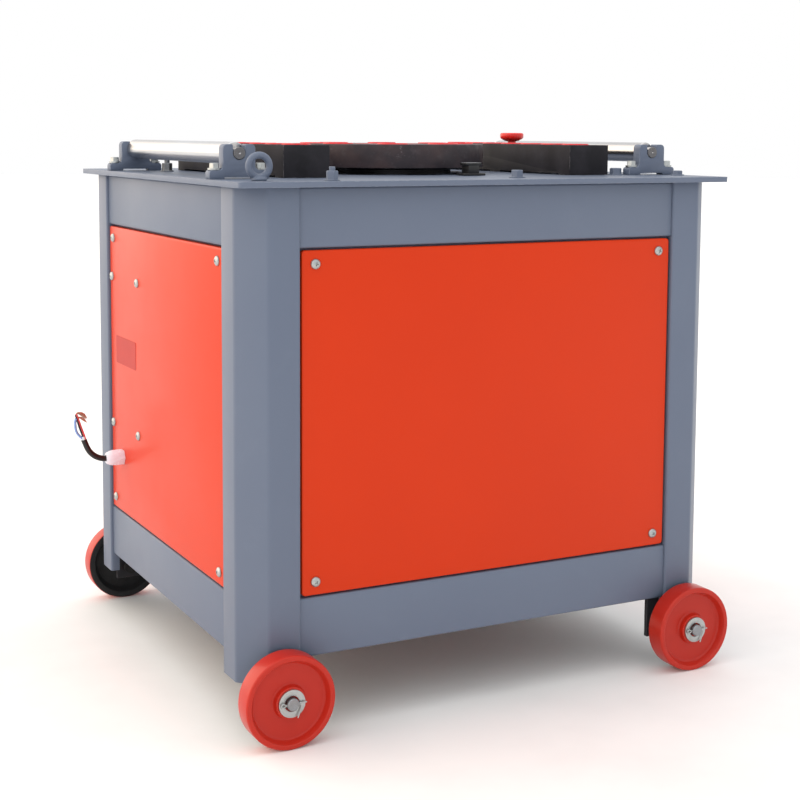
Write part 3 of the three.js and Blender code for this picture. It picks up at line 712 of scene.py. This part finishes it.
def pan_head(name, diameter):
    """A domed screw head with a cross recess, facing +Z, its underside on z = 0."""
    radius = diameter / MM / 2
    profile = [(0, 0), (radius, 0), (radius, 0.9)]
    profile += [(radius * math.cos(math.radians(a)), 0.9 + 4.4 * math.sin(math.radians(a)))
                for a in range(12, 85, 12)]
    head = turned(name, profile + [(0, 5.3)], 36)
    for turn in (0, math.pi / 2):
        slot = slab("slot", Vector((-3.3, -0.75, 2.6)) * MM, Vector((3.3, 0.75, 8)) * MM)
        combined(head, moved(slot, (0, 0, 0), (0, 0, turn)))
    return head


def side_frame(node, side):
    """Where the middle of a node's outer face stands, its turn from the front, and its width."""
    low, high, middle = extent(node)
    turns, way = SIDES[side]
    half = (high - low) / 2
    place = Vector((middle.x + way.x * half.x, middle.y + way.y * half.y, 0))
    width = 2 * (half.x if turns % 2 == 0 else half.y)
    return place, turns * math.pi / 2, width


def hole_collar(name, radius, wide):
    """A low, rounded collar round a pin hole, standing on z = 0."""
    inner, outer = radius + 0.6, radius + wide
    ring = turned(name, [
        (inner, 0), (outer, 0), (outer, 0.6), (outer - 1.4, 2), (inner + 1, 2), (inner, 1.2),
        (inner, 0)], 48)
    return rounded(ring, 0.4 * MM, 2, 20)


def sheet_metal(name, path, run, facing):
    """A folded strip made a solid sheet that lies behind its outer side."""
    sizes = bpy.context.scene.bender_sizes
    piece = folded(name, path, run, sizes.bend)
    mesh = bmesh.from_edit_mesh(piece.data)
    widest = max(mesh.faces, key=lambda face: face.calc_area())
    if widest.normal.dot(facing) < 0:
        bpy.ops.mesh.flip_normals()
    deselect()
    apply_modifier(piece, "SOLIDIFY", thickness=sizes.sheet, offset=-1, use_even_offset=True)
    return rounded(piece, 0.4 * MM, 2, 60)


# ---------------------------------------------------------------- pieces
class BENDER_OT_stage(bpy.types.Operator):
    """Sets up the camera, a pale floor and soft studio light"""
    bl_idname = "bender.stage"
    bl_label = "Stage"

    def execute(self, context):
        yaw, pitch, roll = math.radians(27.39), math.radians(5.63), math.radians(0.31)
        forward = Vector((
            math.sin(yaw) * math.cos(pitch), math.cos(yaw) * math.cos(pitch), -math.sin(pitch)))
        level = Vector((math.cos(yaw), -math.sin(yaw), 0))
        upright = level.cross(forward)
        right = level * math.cos(roll) + upright * math.sin(roll)
        up = upright * math.cos(roll) - level * math.sin(roll)
        deselect()
        bpy.ops.object.camera_add()
        camera = bpy.context.object
        position = Matrix.Translation((-1.271, -2.5186, 0.955))
        camera.matrix_world = position @ Matrix((
            (right.x, up.x, -forward.x, 0), (right.y, up.y, -forward.y, 0),
            (right.z, up.z, -forward.z, 0), (0, 0, 0, 1)))
        camera.data.sensor_width = 36
        camera.data.lens = 67.6
        camera.data.shift_y = -0.15
        context.scene.camera = camera

        deselect()
        bpy.ops.mesh.primitive_circle_add(vertices=96, radius=30, fill_type="NGON")
        floor = bpy.context.object
        floor.name = "studio_floor"
        floor.data.materials.append(finish("pale_floor"))

        # a broad, weak sun from the front left gives the edges their shape
        deselect()
        bpy.ops.object.light_add(type="SUN", rotation=(math.radians(48), 0, math.radians(-62)))
        sun = bpy.context.object
        sun.name = "left_sun"
        sun.data.energy = 0.25
        sun.data.angle = math.radians(50)
        context.scene.world = white_studio()
        context.scene.view_settings.view_transform = "Standard"
        return {"FINISHED"}


class BENDER_OT_supply_cable(bpy.types.Operator):
    """Lays the supply cable out of its gland, with its stripped cores"""
    bl_idname = "bender.supply_cable"
    bl_label = "Supply cable"

    def execute(self, context):
        diameter = context.scene.bender_sizes.cable_diameter
        # x and height above the gland, in metres: straight out, then bending up
        route = [
            (-0.441, 0), (-0.451, 0), (-0.461, 0), (-0.471, 0), (-0.4769, 0.0004),
            (-0.4827, 0.0017), (-0.4882, 0.0039), (-0.4934, 0.0068), (-0.498, 0.0105),
            (-0.5021, 0.0148), (-0.5055, 0.0197), (-0.5081, 0.025), (-0.5096, 0.0287),
            (-0.5111, 0.0324), (-0.5126, 0.0361), (-0.5141, 0.0398),
        ]
        gland_y, gland_z = CABLE_EXIT[1:]
        points = [Vector((x, gland_y, gland_z + rise)) for x, rise in route]
        sheath = tube("supply_cable_sheath", points, diameter, roundness=6, steps=12)
        hand_over(sheath, "cable_sheath", "supply_cable")
        cores = [
            # name, colour, thickness in mm, and offsets from the sheath's end in mm
            ("core_blue", "#86abe6", 4.8, [
                (2, 0, -6), (-2, 1.5, 2), (-8, 2.5, 8), (-13.5, 2, 17), (-15.5, 1, 28),
                (-15.5, 0, 37), (-14, -0.5, 42)]),
            ("core_black", "#26262b", 3.4, [
                (2, 2, -6), (0, 1, 2), (-4, 0, 13), (-8.5, -1, 25), (-11.5, -1, 36),
                (-14, 0, 45), (-14.5, 1.5, 49)]),
            ("core_red", "#d2474a", 3.4, [
                (3, -2, -6), (2, -2.5, 3), (-1.5, -2.5, 14), (-5.5, -2, 26), (-9, -1.5, 37),
                (-12, -1, 46), (-13.5, 0, 51)]),
            ("core_filler", "#eef0f2", 6.4, [(1, 0, -5), (0.6, -0.6, 0), (0, -1, 6)]),
        ]
        made = []
        for name, hex_colour, thick, offsets in cores:
            path = [points[-1] + Vector(offset) * MM for offset in offsets]
            core = wire(name, path, thick * MM)
            if name == "core_filler":
                pvc, slot = core_pvc("filler_yarn", hex_colour), "white_nylon"
            else:
                pvc, slot = core_pvc(name + "_pvc", hex_colour), "cable_sheath"
                made += self.strands(name, path[-1])
            made.append(hand_over(core, slot, material=pvc))
        return {"FINISHED"}

    def strands(self, name, end):
        """Three copper strands that droop and spread from a core's end."""
        made = []
        for k, spread in enumerate((-1.6, 0, 1.6)):
            bend = [(0, 0, -2), (1.5, spread * 0.2, 1.5), (6, spread * 0.6, 1.2 + spread * 0.4),
                    (13 + k, spread, -3 + spread), (20 - k, spread * 1.5, -7 + spread)]
            strand = wire(f"{name}_strand_{k + 1}", [end + Vector(b) * MM for b in bend], 1.8 * MM)
            made.append(hand_over(strand, "cable_sheath", material=finish("copper_strand")))
        return made


class BENDER_OT_cabinet(bpy.types.Operator):
    """Folds the four corner posts and the rails between them"""
    bl_idname = "bender.cabinet"
    bl_label = "Cabinet"

    def execute(self, context):
        self.posts(context.scene.bender_sizes)
        for side in SIDES:
            self.rails(context.scene.bender_sizes, side)
        return {"FINISHED"}

    def posts(self, sizes):
        low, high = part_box("post_front_left")
        face, lip, flat = high.x - low.x, sizes.post_return, sizes.post_chamfer
        outline = [(lip, face), (0, face), (0, flat), (flat, 0), (face, 0), (face, lip)]
        path = [Vector((x, y, low.z)) for x, y in outline]
        first = sheet_metal(
            "corner_post", path, Vector((0, 0, high.z - low.z)), Vector((-1, 0, 0)))
        corners = [
            ("front_left", (0, 0), 0), ("front_right", (1, 0), 1), ("rear_right", (1, 1), 2),
            ("rear_left", (0, 1), 3),
        ]
        for name, (far_x, far_y), turns in corners:
            low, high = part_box("post_" + name)
            corner = Vector((high.x if far_x else low.x, high.y if far_y else low.y, 0))
            post = copy_of(first, "corner_post_" + name, corner, (0, 0, turns * math.pi / 2))
            hand_over(post, "slate_paint", "post_" + name)
        bpy.data.objects.remove(first)

    def rails(self, sizes, side):
        for level in ("top", "bottom"):
            node = f"{level}_rail_{side}"
            low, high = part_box(node)
            place, turn, width = side_frame(node, side)
            depth = min(high.x - low.x, high.y - low.y)
            if level == "top":
                foot = low.z + sizes.rail_lip
                outline = [(depth, high.z), (0, high.z), (0, foot), (sizes.rail_step, foot),
                           (sizes.rail_step, low.z)]
            else:
                head = high.z - sizes.rail_lip
                outline = [(sizes.rail_step, high.z), (sizes.rail_step, head), (0, head),
                           (0, low.z), (depth, low.z)]
            path = [Vector((-width / 2, y, z)) for y, z in outline]
            rail = sheet_metal("folded_" + node, path, Vector((width, 0, 0)), Vector((0, -1, 0)))
            moved(rail, place, (0, 0, turn))
            hand_over(rail, "slate_paint", node)


class BENDER_OT_panels(bpy.types.Operator):
    """Folds the four orange panels and screws them on"""
    bl_idname = "bender.panels"
    bl_label = "Panels"

    def execute(self, context):
        sizes = context.scene.bender_sizes
        screw = pan_head("panel_screw", sizes.screw_head)
        for side in SIDES:
            node = "panel_" + side
            place, turn, width = side_frame(node, side)
            low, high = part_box(node)
            depth = min(high.x - low.x, high.y - low.y)
            panel = slab(
                "folded_" + node, Vector((-width / 2, 0, low.z)), Vector((width / 2, depth, high.z)))
            self.fold(panel, sizes)
            moved(panel, place, (0, 0, turn))
            if side == "left":
                hole = bar("gland_hole", 10, -15, 15)
                spot = (low.x, *CABLE_EXIT[1:])
                combined(panel, moved(hole, spot, (0, math.pi / 2, 0)))
            hand_over(panel, "orange_paint", node)
            self.screws(screw, side, place, turn, width, low.z, high.z)
        bpy.data.objects.remove(screw)
        return {"FINISHED"}

    def fold(self, panel, sizes):
        """Rounds the corners, opens the back, rounds the fold and gives the sheet its thickness."""
        front = Vector((0, -1, 0))
        rounded_along(panel, front, sizes.panel_corner, 5)
        edit(panel)
        pick(panel, "faces", lambda f: f.normal.dot(front) < -0.9)
        bpy.ops.mesh.delete(type="FACE")
        pick(panel, "edges", lambda e: len(e.link_faces) == 2 and 1 == sum(
            f.normal.dot(front) > 0.9 for f in e.link_faces))
        bpy.ops.mesh.bevel(offset=2 * MM, segments=3)
        deselect()
        apply_modifier(panel, "SOLIDIFY", thickness=sizes.panel_sheet, offset=-1)

    def screws(self, screw, side, place, turn, width, bottom, top):
        inset_x, inset_z = 23 * MM, 21.5 * MM
        spots = [(x * (width / 2 - inset_x), z) for x in (-1, 1)
                 for z in (bottom + inset_z, top - inset_z)]
        if side == "left":
            # four more hold the electrical box behind the panel, whose x runs against world y
            box_low, box_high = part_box("electrical_box")
            spots += [(place.y - y, z)
                      for y in (box_low.y + 19 * MM, box_high.y - 4 * MM)
                      for z in (box_low.z + 11.5 * MM, box_high.z - 14 * MM)]
        for number, (x, z) in enumerate(spots, 1):
            spin = Matrix.Rotation(turn, 3, "Z")
            spot = place + spin @ Vector((x, 0, z))
            head = copy_of(screw, f"panel_screw_{side}_{number}", (0, 0, 0), (0, 0, 0.7 * number))
            moved(head, spot, (math.pi / 2, 0, turn))
            hand_over(head, "bright_steel", material=finish("zinc_plate"))


class BENDER_OT_label(bpy.types.Operator):
    """Sticks a plain, blank label on the left panel"""
    bl_idname = "bender.label"
    bl_label = "Blank label"

    def execute(self, context):
        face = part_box("panel_left")[0].x
        label = slab(
            "blank_label", Vector((face - 0.5 * MM, 0.150, 0.512)), Vector((face, 0.271, 0.564)))
        rounded_along(label, Vector((1, 0, 0)), 3 * MM, 4)
        hand_over(label, "orange_paint", material=finish("red_vinyl"))
        return {"FINISHED"}


class BENDER_OT_table(bpy.types.Operator):
    """Cuts the table plate, with its hole for the gearbox boss"""
    bl_idname = "bender.table"
    bl_label = "Table plate"

    def execute(self, context):
        low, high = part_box("table_plate")
        plate = slab("steel_table_plate", low, high)
        rounded_along(plate, Vector((0, 0, 1)), 6 * MM, 5)
        boss = bar("boss_hole", 122, -30, 30, 96)
        combined(plate, moved(boss, (DISC_CENTRE.x, DISC_CENTRE.y, high.z)))
        for name in ("front_left", "rear_right"):
            middle = extent("lifting_eye_" + name)[2]
            shank = bar("shank_hole", 5.6, -30, 30, 24)
            combined(plate, moved(shank, (middle.x, middle.y, high.z)))
        rounded(plate, 0.9 * MM, 3, 60)
        hand_over(plate, "slate_paint", "table_plate")
        return {"FINISHED"}


class BENDER_OT_wheels(bpy.types.Operator):
    """Turns the four wheels, with their axles, washers, split pins and brackets"""
    bl_idname = "bender.wheels"
    bl_label = "Wheels"

    def execute(self, context):
        wheel = self.wheel()
        axle = turned("axle", [
            (0, -60), (14, -60), (14, -51.5), (10, -51.5), (10, -41), (14, -41), (14, -15.3),
            (10, -15.3), (10, 25.4), (8.6, 26.9), (0, 26.9)], 40)
        washer = rounded(turned("washer", [
            (12.4, 17.1), (22.2, 17.1), (22.2, 20.3), (12.4, 20.3), (12.4, 17.1)], 48),
            0.5 * MM, 2, 60)
        pin = self.split_pin()
        for end, facing in (("front", 1), ("rear", -1)):
            for side in ("left", "right"):
                corner = f"{end}_{side}"
                place = extent("wheel_" + corner)[2]
                turn = (facing * math.pi / 2, 0, 0)
                made = copy_of(wheel, "enamelled_wheel_" + corner, place, turn)
                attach(made, "wheel_" + corner)
                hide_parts("wheel_" + corner)
                stub = copy_of(axle, "stub_axle_" + corner, place, turn)
                hand_over(stub, "machined_steel", "wheel_axle_" + corner)
                # the inner part of the axle is as black as the bracket that carries it
                second_finish(
                    stub, finish("black_casting"), lambda f, m=place, way=facing:
                    (f.calc_center_median().y - m.y) * way > 25 * MM)
                for start, name in ((washer, "wheel_washer_"), (pin, "split_pin_")):
                    made = copy_of(start, name + corner, place, turn)
                    hand_over(made, "bright_steel", material=finish("zinc_plate"))
                node = "wheel_bracket_" + corner
                bracket = copy_of_node(node, "pressed_bracket_" + corner)
                hand_over(rounded(bracket, 1 * MM, 2), "black_paint", node)
        for start in (wheel, axle, washer, pin):
            bpy.data.objects.remove(start)
        return {"FINISHED"}

    def wheel(self):
        """A cast wheel with a dished web, red outside, its back left as it was cast."""
        wheel = turned("wheel", [
            (10.3, -15), (26, -15), (28, -3), (56, -3), (60, -9), (63, -18.4), (73.6, -18.4),
            (75, -17), (75, 16), (73.4, 18.4), (66.5, 18.4), (62.5, 8), (60, 5.6), (28, 5.6),
            (25.8, 8), (25.2, 17), (10.3, 17)], 96)
        rounded(wheel, 0.9 * MM, 3, 22)
        take(wheel)
        bpy.ops.object.shade_smooth_by_angle(angle=math.radians(40))
        wheel.data.materials.append(finish("red_enamel"))
        web, tread = -2 * MM, 74 * MM
        second_finish(
            wheel, finish("black_casting"), lambda f: f.calc_center_median().z < web
            and f.calc_center_median().xy.length < tread)
        return wheel

    def split_pin(self):
        """A split pin through the axle: its eye on one side, one leg straight, one bent over."""
        out = 23.4
        eye = [(-16.5 + x, y) for x, y in arc(0, 0, 3, 40, 320, 10)]
        path = [(23, 0.9), (10, 0.9), (-12, 0.9)] + eye + [
            (-12, -0.9), (10, -0.9), (13, -2.5), (13.2, -7), (11, -14), (8, -22.5)]
        return wire("split_pin", [Vector((x, y, out)) * MM for x, y in path], 2.2 * MM)


class BENDER_OT_hole_blocks(bpy.types.Operator):
    """Mills the two fixed blocks, each with a row of chamfered pin holes"""
    bl_idname = "bender.hole_blocks"
    bl_label = "Pin-hole blocks"

    def execute(self, context):
        radius = context.scene.bender_sizes.block_hole / MM
        for side in ("left", "right"):
            node = "hole_block_" + side
            low, high, middle = extent(node)
            block = slab("milled_" + node, low, high)
            # a shallow relief on each side of the middle, underneath, leaves three feet
            inner, outer, depth = 18 * MM, 224 * MM, 3 * MM
            for way in (-1, 1):
                ends = sorted((middle.y + way * inner, middle.y + way * outer))
                relief_low = Vector((low.x - MM, ends[0], low.z - MM))
                relief_high = Vector((high.x + MM, ends[1], low.z + depth))
                combined(block, slab("relief", relief_low, relief_high))
            top = (high.z - low.z) / MM
            spots = [(middle.x, middle.y + i * BLOCK_PITCH) for i in BLOCK_HOLES]
            for spot in spots:
                combined(block, moved(drill(radius, top, 1.6, 48), (*spot, low.z)))
            rounded(block, 1.1 * MM, 3, 60)
            collar = hole_collar("collar", radius, 9)
            for number, spot in enumerate(spots, 1):
                made = copy_of(collar, f"hole_collar_{side}_{number}", (*spot, high.z))
                hand_over(made, "black_paint", material=finish("ring_paint"))
            bpy.data.objects.remove(collar)
            material = ringed_black_enamel("ringed_black_enamel_" + side, middle.x)
            hand_over(block, "black_paint", node, material=material)
        return {"FINISHED"}


class BENDER_OT_working_disc(bpy.types.Operator):
    """Turns and drills the working disc and the shaft head in its middle"""
    bl_idname = "bender.working_disc"
    bl_label = "Working disc"

    def execute(self, context):
        sizes = context.scene.bender_sizes
        low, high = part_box("working_disc")
        thick = (high.z - low.z) / MM
        disc = cylinder(
            "drilled_working_disc", 192, (high.x - low.x) / 2, high.z - low.z, DISC_CENTRE)
        circle, hole = sizes.disc_hole_circle, sizes.disc_hole / MM
        angles = [(i + 0.5) * 2 * math.pi / DISC_HOLES for i in range(DISC_HOLES)]
        spots = [(DISC_CENTRE.x + circle * math.cos(angle), DISC_CENTRE.y + circle * math.sin(angle))
                 for angle in angles]
        for spot in spots:
            combined(disc, moved(drill(hole, thick, 1.5, 56), (*spot, low.z)))
        bore = drill(30, thick, 1.5, 56)
        combined(disc, moved(bore, (DISC_CENTRE.x, DISC_CENTRE.y, low.z)))
        rounded(disc, 1.4 * MM, 3, 60)
        collar = hole_collar("collar", hole, 10)
        for number, spot in enumerate(spots, 1):
            made = copy_of(collar, f"disc_hole_collar_{number}", (*spot, high.z))
            hand_over(made, "disc_steel", body="disc_assembly", material=finish("ring_paint"))
        bpy.data.objects.remove(collar)
        hand_over(disc, "disc_steel", "working_disc", body="disc_assembly")

        bottom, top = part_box("main_shaft")[0].z / MM, high.z / MM
        cover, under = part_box("gearbox_cover")[0].z / MM, low.z / MM
        shaft = turned("turned_main_shaft", [
            (0, bottom), (24.7, bottom), (24.7, bottom + 20), (30, bottom + 20), (30, cover),
            (35, cover), (35, under - 2.5), (78, under - 2.5), (78, under - 0.3), (29.7, under - 0.3),
            (29.7, top - 4), (28.7, top - 3), (23.2, top - 3), (22, top - 4.2), (22, under + 4),
            (0, under + 4)], 64)
        moved(shaft, (DISC_CENTRE.x, DISC_CENTRE.y, 0))
        hand_over(shaft, "machined_steel", "main_shaft", body="disc_assembly")
        return {"FINISHED"}


class BENDER_OT_feed_rollers(bpy.types.Operator):
    """Turns the two feed rollers and cuts their brackets, with the bolts of the brackets"""
    bl_idname = "bender.feed_rollers"
    bl_label = "Feed rollers"

    def execute(self, context):
        bolt = hex_head("bracket_bolt", 14, 8, 3.2)
        bracket = self.bracket()
        for side in ("left", "right"):
            node = "feed_roller_" + side
            low, high, middle = extent(node)
            end, radius = (high.y - low.y) / 2 / MM, (high.z - low.z) / 2 / MM
            barrel = end - 22.3
            profile = [(0, -end + 2.5), (1.6, -end), (9, -end), (10, -end + 1), (10, -barrel),
                       (radius - 1.2, -barrel), (radius, -barrel + 1.2)]
            profile += [(r, -z) for r, z in reversed(profile)]
            roller = moved(turned("turned_" + node, profile, 72), middle, (math.pi / 2, 0, 0))
            hand_over(roller, "bright_steel", node, body="roller_" + side)
            second_finish(
                roller, finish("sawn_steel"),
                lambda f, m=middle: abs(f.calc_center_median().y - m.y) > (end - 0.8) * MM)
            for end_name, way in (("front", -1), ("rear", 1)):
                part = f"roller_bracket_{side}_{end_name}"
                low, _, centre = extent(part)
                foot = Vector((centre.x, centre.y, low.z))
                made = copy_of(bracket, "cast_" + part, foot)
                hand_over(made, "slate_paint", part)
                for number, across in ((1, -39), (2, 39)):
                    head = copy_of(
                        bolt, f"bracket_bolt_{side}_{end_name}_{number}",
                        foot + Vector((across, 0, 14.05)) * MM, (0, 0, 0.5 * number + way))
                    hand_over(head, "bright_steel", material=finish("zinc_plate"))
        bpy.data.objects.remove(bolt)
        bpy.data.objects.remove(bracket)
        return {"FINISHED"}

    def bracket(self):
        """A cast bracket standing on z = 0: two feet, an upright and an open slot for the journal."""
        right = [(25, 3), (25, 0), (50.4, 0)] + arc(45.5, 9, 5, 0, 90)
        right += arc(34.5, 21, 7, 270, 180) + arc(20.5, 48, 7, 0, 90)
        right += [(12.4, 55), (10.6, 53.4)]
        slot = arc(0, 40.7, 10.5, 0, -180, 16)
        left = [(-x, z) for x, z in reversed(right)]
        outline = right + slot + left
        path = [Vector((x, -10, z)) * MM for x, z in outline]
        piece = extruded("bracket", path, Vector((0, 20 * MM, 0)))
        return rounded(piece, 0.9 * MM, 2, 50)


class BENDER_OT_lifting_eyes(bpy.types.Operator):
    """Forges the two lifting eyes, blended from ring to foot"""
    bl_idname = "bender.lifting_eyes"
    bl_label = "Lifting eyes"

    def execute(self, context):
        foot = turned("eye_foot", [
            (0, -19), (4.2, -19), (5, -18), (5, 0.3), (12.3, 0.3), (12.5, 3.6), (9.5, 6.4),
            (7.2, 9.5), (0, 9.5)], 40)
        deselect()
        bpy.ops.mesh.primitive_torus_add(
            major_radius=17 * MM, minor_radius=5.5 * MM, major_segments=64, minor_segments=24,
            location=(0, 0, 22.5 * MM), rotation=(math.pi / 2, 0, 0))
        eye = bpy.context.object
        bpy.ops.object.transform_apply(location=True, rotation=True, scale=True)
        combined(eye, foot, "UNION")
        apply_modifier(eye, "REMESH", mode="VOXEL", voxel_size=0.7 * MM)
        apply_modifier(eye, "SMOOTH", factor=0.5, iterations=6)
        for name in ("front_left", "rear_right"):
            middle = extent("lifting_eye_" + name)[2]
            made = copy_of(eye, "forged_eye_" + name, (middle.x, middle.y, TABLE_TOP))
            hand_over(made, "slate_paint", "lifting_eye_" + name, smooth=60)
        bpy.data.objects.remove(eye)
        return {"FINISHED"}


class BENDER_OT_gland(bpy.types.Operator):
    """Moulds the nylon gland that the cable comes out of"""
    bl_idname = "bender.gland"
    bl_label = "Cable gland"

    def execute(self, context):
        low, high, middle = extent("cable_gland")
        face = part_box("panel_left")[0].x
        reach = (face - low.x) / MM
        hexagon = hex_head("gland_hexagon", 27, 11)
        gland = combined(hexagon, bar("gland_thread", 9.5, -20, 4, 40), "UNION")
        cap = turned("gland_cap", [
            (0, 5), (14, 5), (14, 9.4), (14.6, 10), (14.4, 22), (13.2, 27), (10.6, reach - 1.4),
            (9, reach), (0, reach)], 48)
        combined(gland, cap, "UNION")
        for i in range(12):
            angle = math.radians(30 * i)
            groove = turned("groove", [(0, 12), (1.1, 13), (1.1, 23), (0, 24)], 12)
            combined(gland, moved(groove, (15 * MM * math.cos(angle), 15 * MM * math.sin(angle), 0)))
        bore = turned("bore", [(0, -30), (5.7, -30), (5.7, 33), (7, 36), (0, 36)], 40)
        combined(gland, bore)
        moved(gland, (face, middle.y, middle.z), (0, -math.pi / 2, 0))
        hand_over(gland, "white_nylon", "cable_gland")
        return {"FINISHED"}


class BENDER_OT_switches(bpy.types.Operator):
    """Moulds the stop button and the limit switch on the table"""
    bl_idname = "bender.switches"
    bl_label = "Stop button and limit switch"

    def execute(self, context):
        low, high, middle = extent("stop_button_box")
        box = slab("moulded_stop_box", low, Vector((high.x, high.y, low.z + 45 * MM)))
        rounded(box, 4 * MM, 4, 60)
        collar = turned("collar", [
            (0, 40), (18.5, 40), (18.5, 46), (17, 52), (0, 52)], 48)
        combined(box, moved(collar, (middle.x, middle.y, low.z)), "UNION")
        combined(box, moved(bar("well", 9, 26, 60), (middle.x, middle.y, low.z)))
        hand_over(box, "black_plastic", "stop_button_box")

        cap = turned("moulded_stop_button", [
            (0, 36), (8.5, 36), (8.5, 57.5), (14, 58.6), (20, 61.6), (23, 64), (24, 66), (24, 71.5),
            (23.2, 73.6), (21.2, 74.7), (17, 75), (0, 75)], 64)
        moved(cap, (middle.x, middle.y, low.z))
        hand_over(cap, "red_plastic", "stop_button", body="stop_button")

        low, high, middle = extent("limit_switch")
        switch = slab("moulded_limit_switch", low, Vector((high.x, high.y, low.z + 4 * MM)))
        rounded(switch, 1.2 * MM, 2, 60)
        for name, wide, deep, start, stop in (("waist", 22, 24, 3, 18), ("lid", 31, 24, 17.5, 22.5)):
            foot = Vector((middle.x, middle.y, low.z))
            layer = slab(name, foot + Vector((-wide / 2, -deep / 2, start)) * MM,
                         foot + Vector((wide / 2, deep / 2, stop)) * MM)
            combined(switch, rounded(layer, 1.2 * MM, 2, 60), "UNION")
        spot = (middle.x, middle.y + 24 * MM, extent("limit_plunger")[2].z)
        combined(switch, moved(bar("guide", 4, -20, 20, 24), spot, (math.pi / 2, 0, 0)))
        hand_over(switch, "black_plastic", "limit_switch")
        # only the lid's flat top gets pale machined steel: a painted highlight for the light its top
        # reflects
        second_finish(
            switch, finish("machined_steel"),
            lambda f, top=low.z + 22 * MM: f.calc_center_median().z > top and f.normal.z > 0.9)
        low, high, middle = extent("limit_plunger")
        reach = (high.y - low.y) / 2 / MM
        plunger = turned("turned_limit_plunger", [
            (0, -reach), (3.5, -reach), (3.5, reach - 2), (3.2, reach - 1), (2.4, reach - 0.2),
            (0, reach)], 32)
        moved(plunger, middle, (-math.pi / 2, 0, 0))
        hand_over(
            plunger, "machined_steel", "limit_plunger", body="limit_plunger")
        return {"FINISHED"}


class BENDER_OT_table_bolts(bpy.types.Operator):
    """Screws the bolts and the stud of the gearbox and the table down"""
    bl_idname = "bender.table_bolts"
    bl_label = "Table bolts"

    def execute(self, context):
        bolts = [
            # name, place in mm (x from the disc's axis), width over flats, height, slot and
            # how far a stud stands out of its nut
            ("table_stud_front_left", (-295, -390), 17, 14, "slate_paint", 7),
            ("table_bolt_front_middle", (68, -349), 19, 11.5, "slate_paint", 0),
            ("table_bolt_front_right", (336, -257), 19, 11, "slate_paint", 0),
            ("table_bolt_right", (435, -310), 17, 7, "slate_paint", 0),
            ("table_stud_left", (-366, 195), 17, 14, "machined_steel", 7),
        ]
        for name, (x, y), flats, height, slot, stud in bolts:
            bolt = hex_head(name, flats, height, 1.6)
            if stud:
                end = height + stud
                rod = turned("stud", [
                    (0, 4), (4.9, 4), (4.9, end), (4.1, end + 0.8), (0, end + 0.8)], 32)
                combined(bolt, rod, "UNION")
            moved(bolt, (DISC_CENTRE.x + x * MM, y * MM, TABLE_TOP), (0, 0, x * 0.1))
            hand_over(bolt, slot)
        return {"FINISHED"}


class BENDER_OT_hidden_drive(bpy.types.Operator):
    """Gives the drive inside the cabinet its finishes"""
    bl_idname = "bender.hidden_drive"
    bl_label = "Drive inside"

    def execute(self, context):
        slots = {
            "gearbox_housing": "cast_iron", "gearbox_cover": "black_paint",
            "main_gear": "machined_steel", "layshaft": "machined_steel",
            "layshaft_gear": "machined_steel", "input_shaft": "machined_steel",
            "driven_pulley": "cast_iron", "motor_pulley": "cast_iron",
            "drive_belt": "belt_rubber", "motor_mount": "slate_paint",
            "motor_housing": "motor_paint", "motor_shaft": "machined_steel",
            "electrical_box": "slate_paint",
        }
        for node, slot in slots.items():
            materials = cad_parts[node].data.materials
            materials.clear()
            materials.append(finish(slot))
        return {"FINISHED"}


PIECES = [
    BENDER_OT_stage, BENDER_OT_supply_cable, BENDER_OT_cabinet, BENDER_OT_panels,
    BENDER_OT_label, BENDER_OT_table, BENDER_OT_wheels, BENDER_OT_hole_blocks,
    BENDER_OT_working_disc, BENDER_OT_feed_rollers, BENDER_OT_lifting_eyes, BENDER_OT_gland,
    BENDER_OT_switches, BENDER_OT_table_bolts, BENDER_OT_hidden_drive,
]


class BENDER_PT_pieces(bpy.types.Panel):
    """Lists the machine's pieces and its sizes and colours"""
    bl_idname = "BENDER_PT_pieces"
    bl_label = "Rebar bender"
    bl_space_type = "VIEW_3D"
    bl_region_type = "UI"
    bl_category = "Bender"

    def draw(self, context):
        for group in (context.scene.bender_sizes, context.scene.bender_colours):
            box = self.layout.box()
            for name in group.__annotations__:
                box.prop(group, name)
        for piece in PIECES:
            self.layout.operator(piece.bl_idname)


CLASSES = [BenderSizes, BenderColours, *PIECES, BENDER_PT_pieces]


def register():
    for cls in CLASSES:
        bpy.utils.register_class(cls)
    bpy.types.Scene.bender_sizes = bpy.props.PointerProperty(type=BenderSizes)
    bpy.types.Scene.bender_colours = bpy.props.PointerProperty(type=BenderColours)


def unregister():
    del bpy.types.Scene.bender_colours
    del bpy.types.Scene.bender_sizes
    for cls in reversed(CLASSES):
        bpy.utils.unregister_class(cls)


def main():
    register()
    for piece in PIECES:
        group, name = piece.bl_idname.split(".")
        getattr(getattr(bpy.ops, group), name)()


if __name__ == "__main__":
    main()
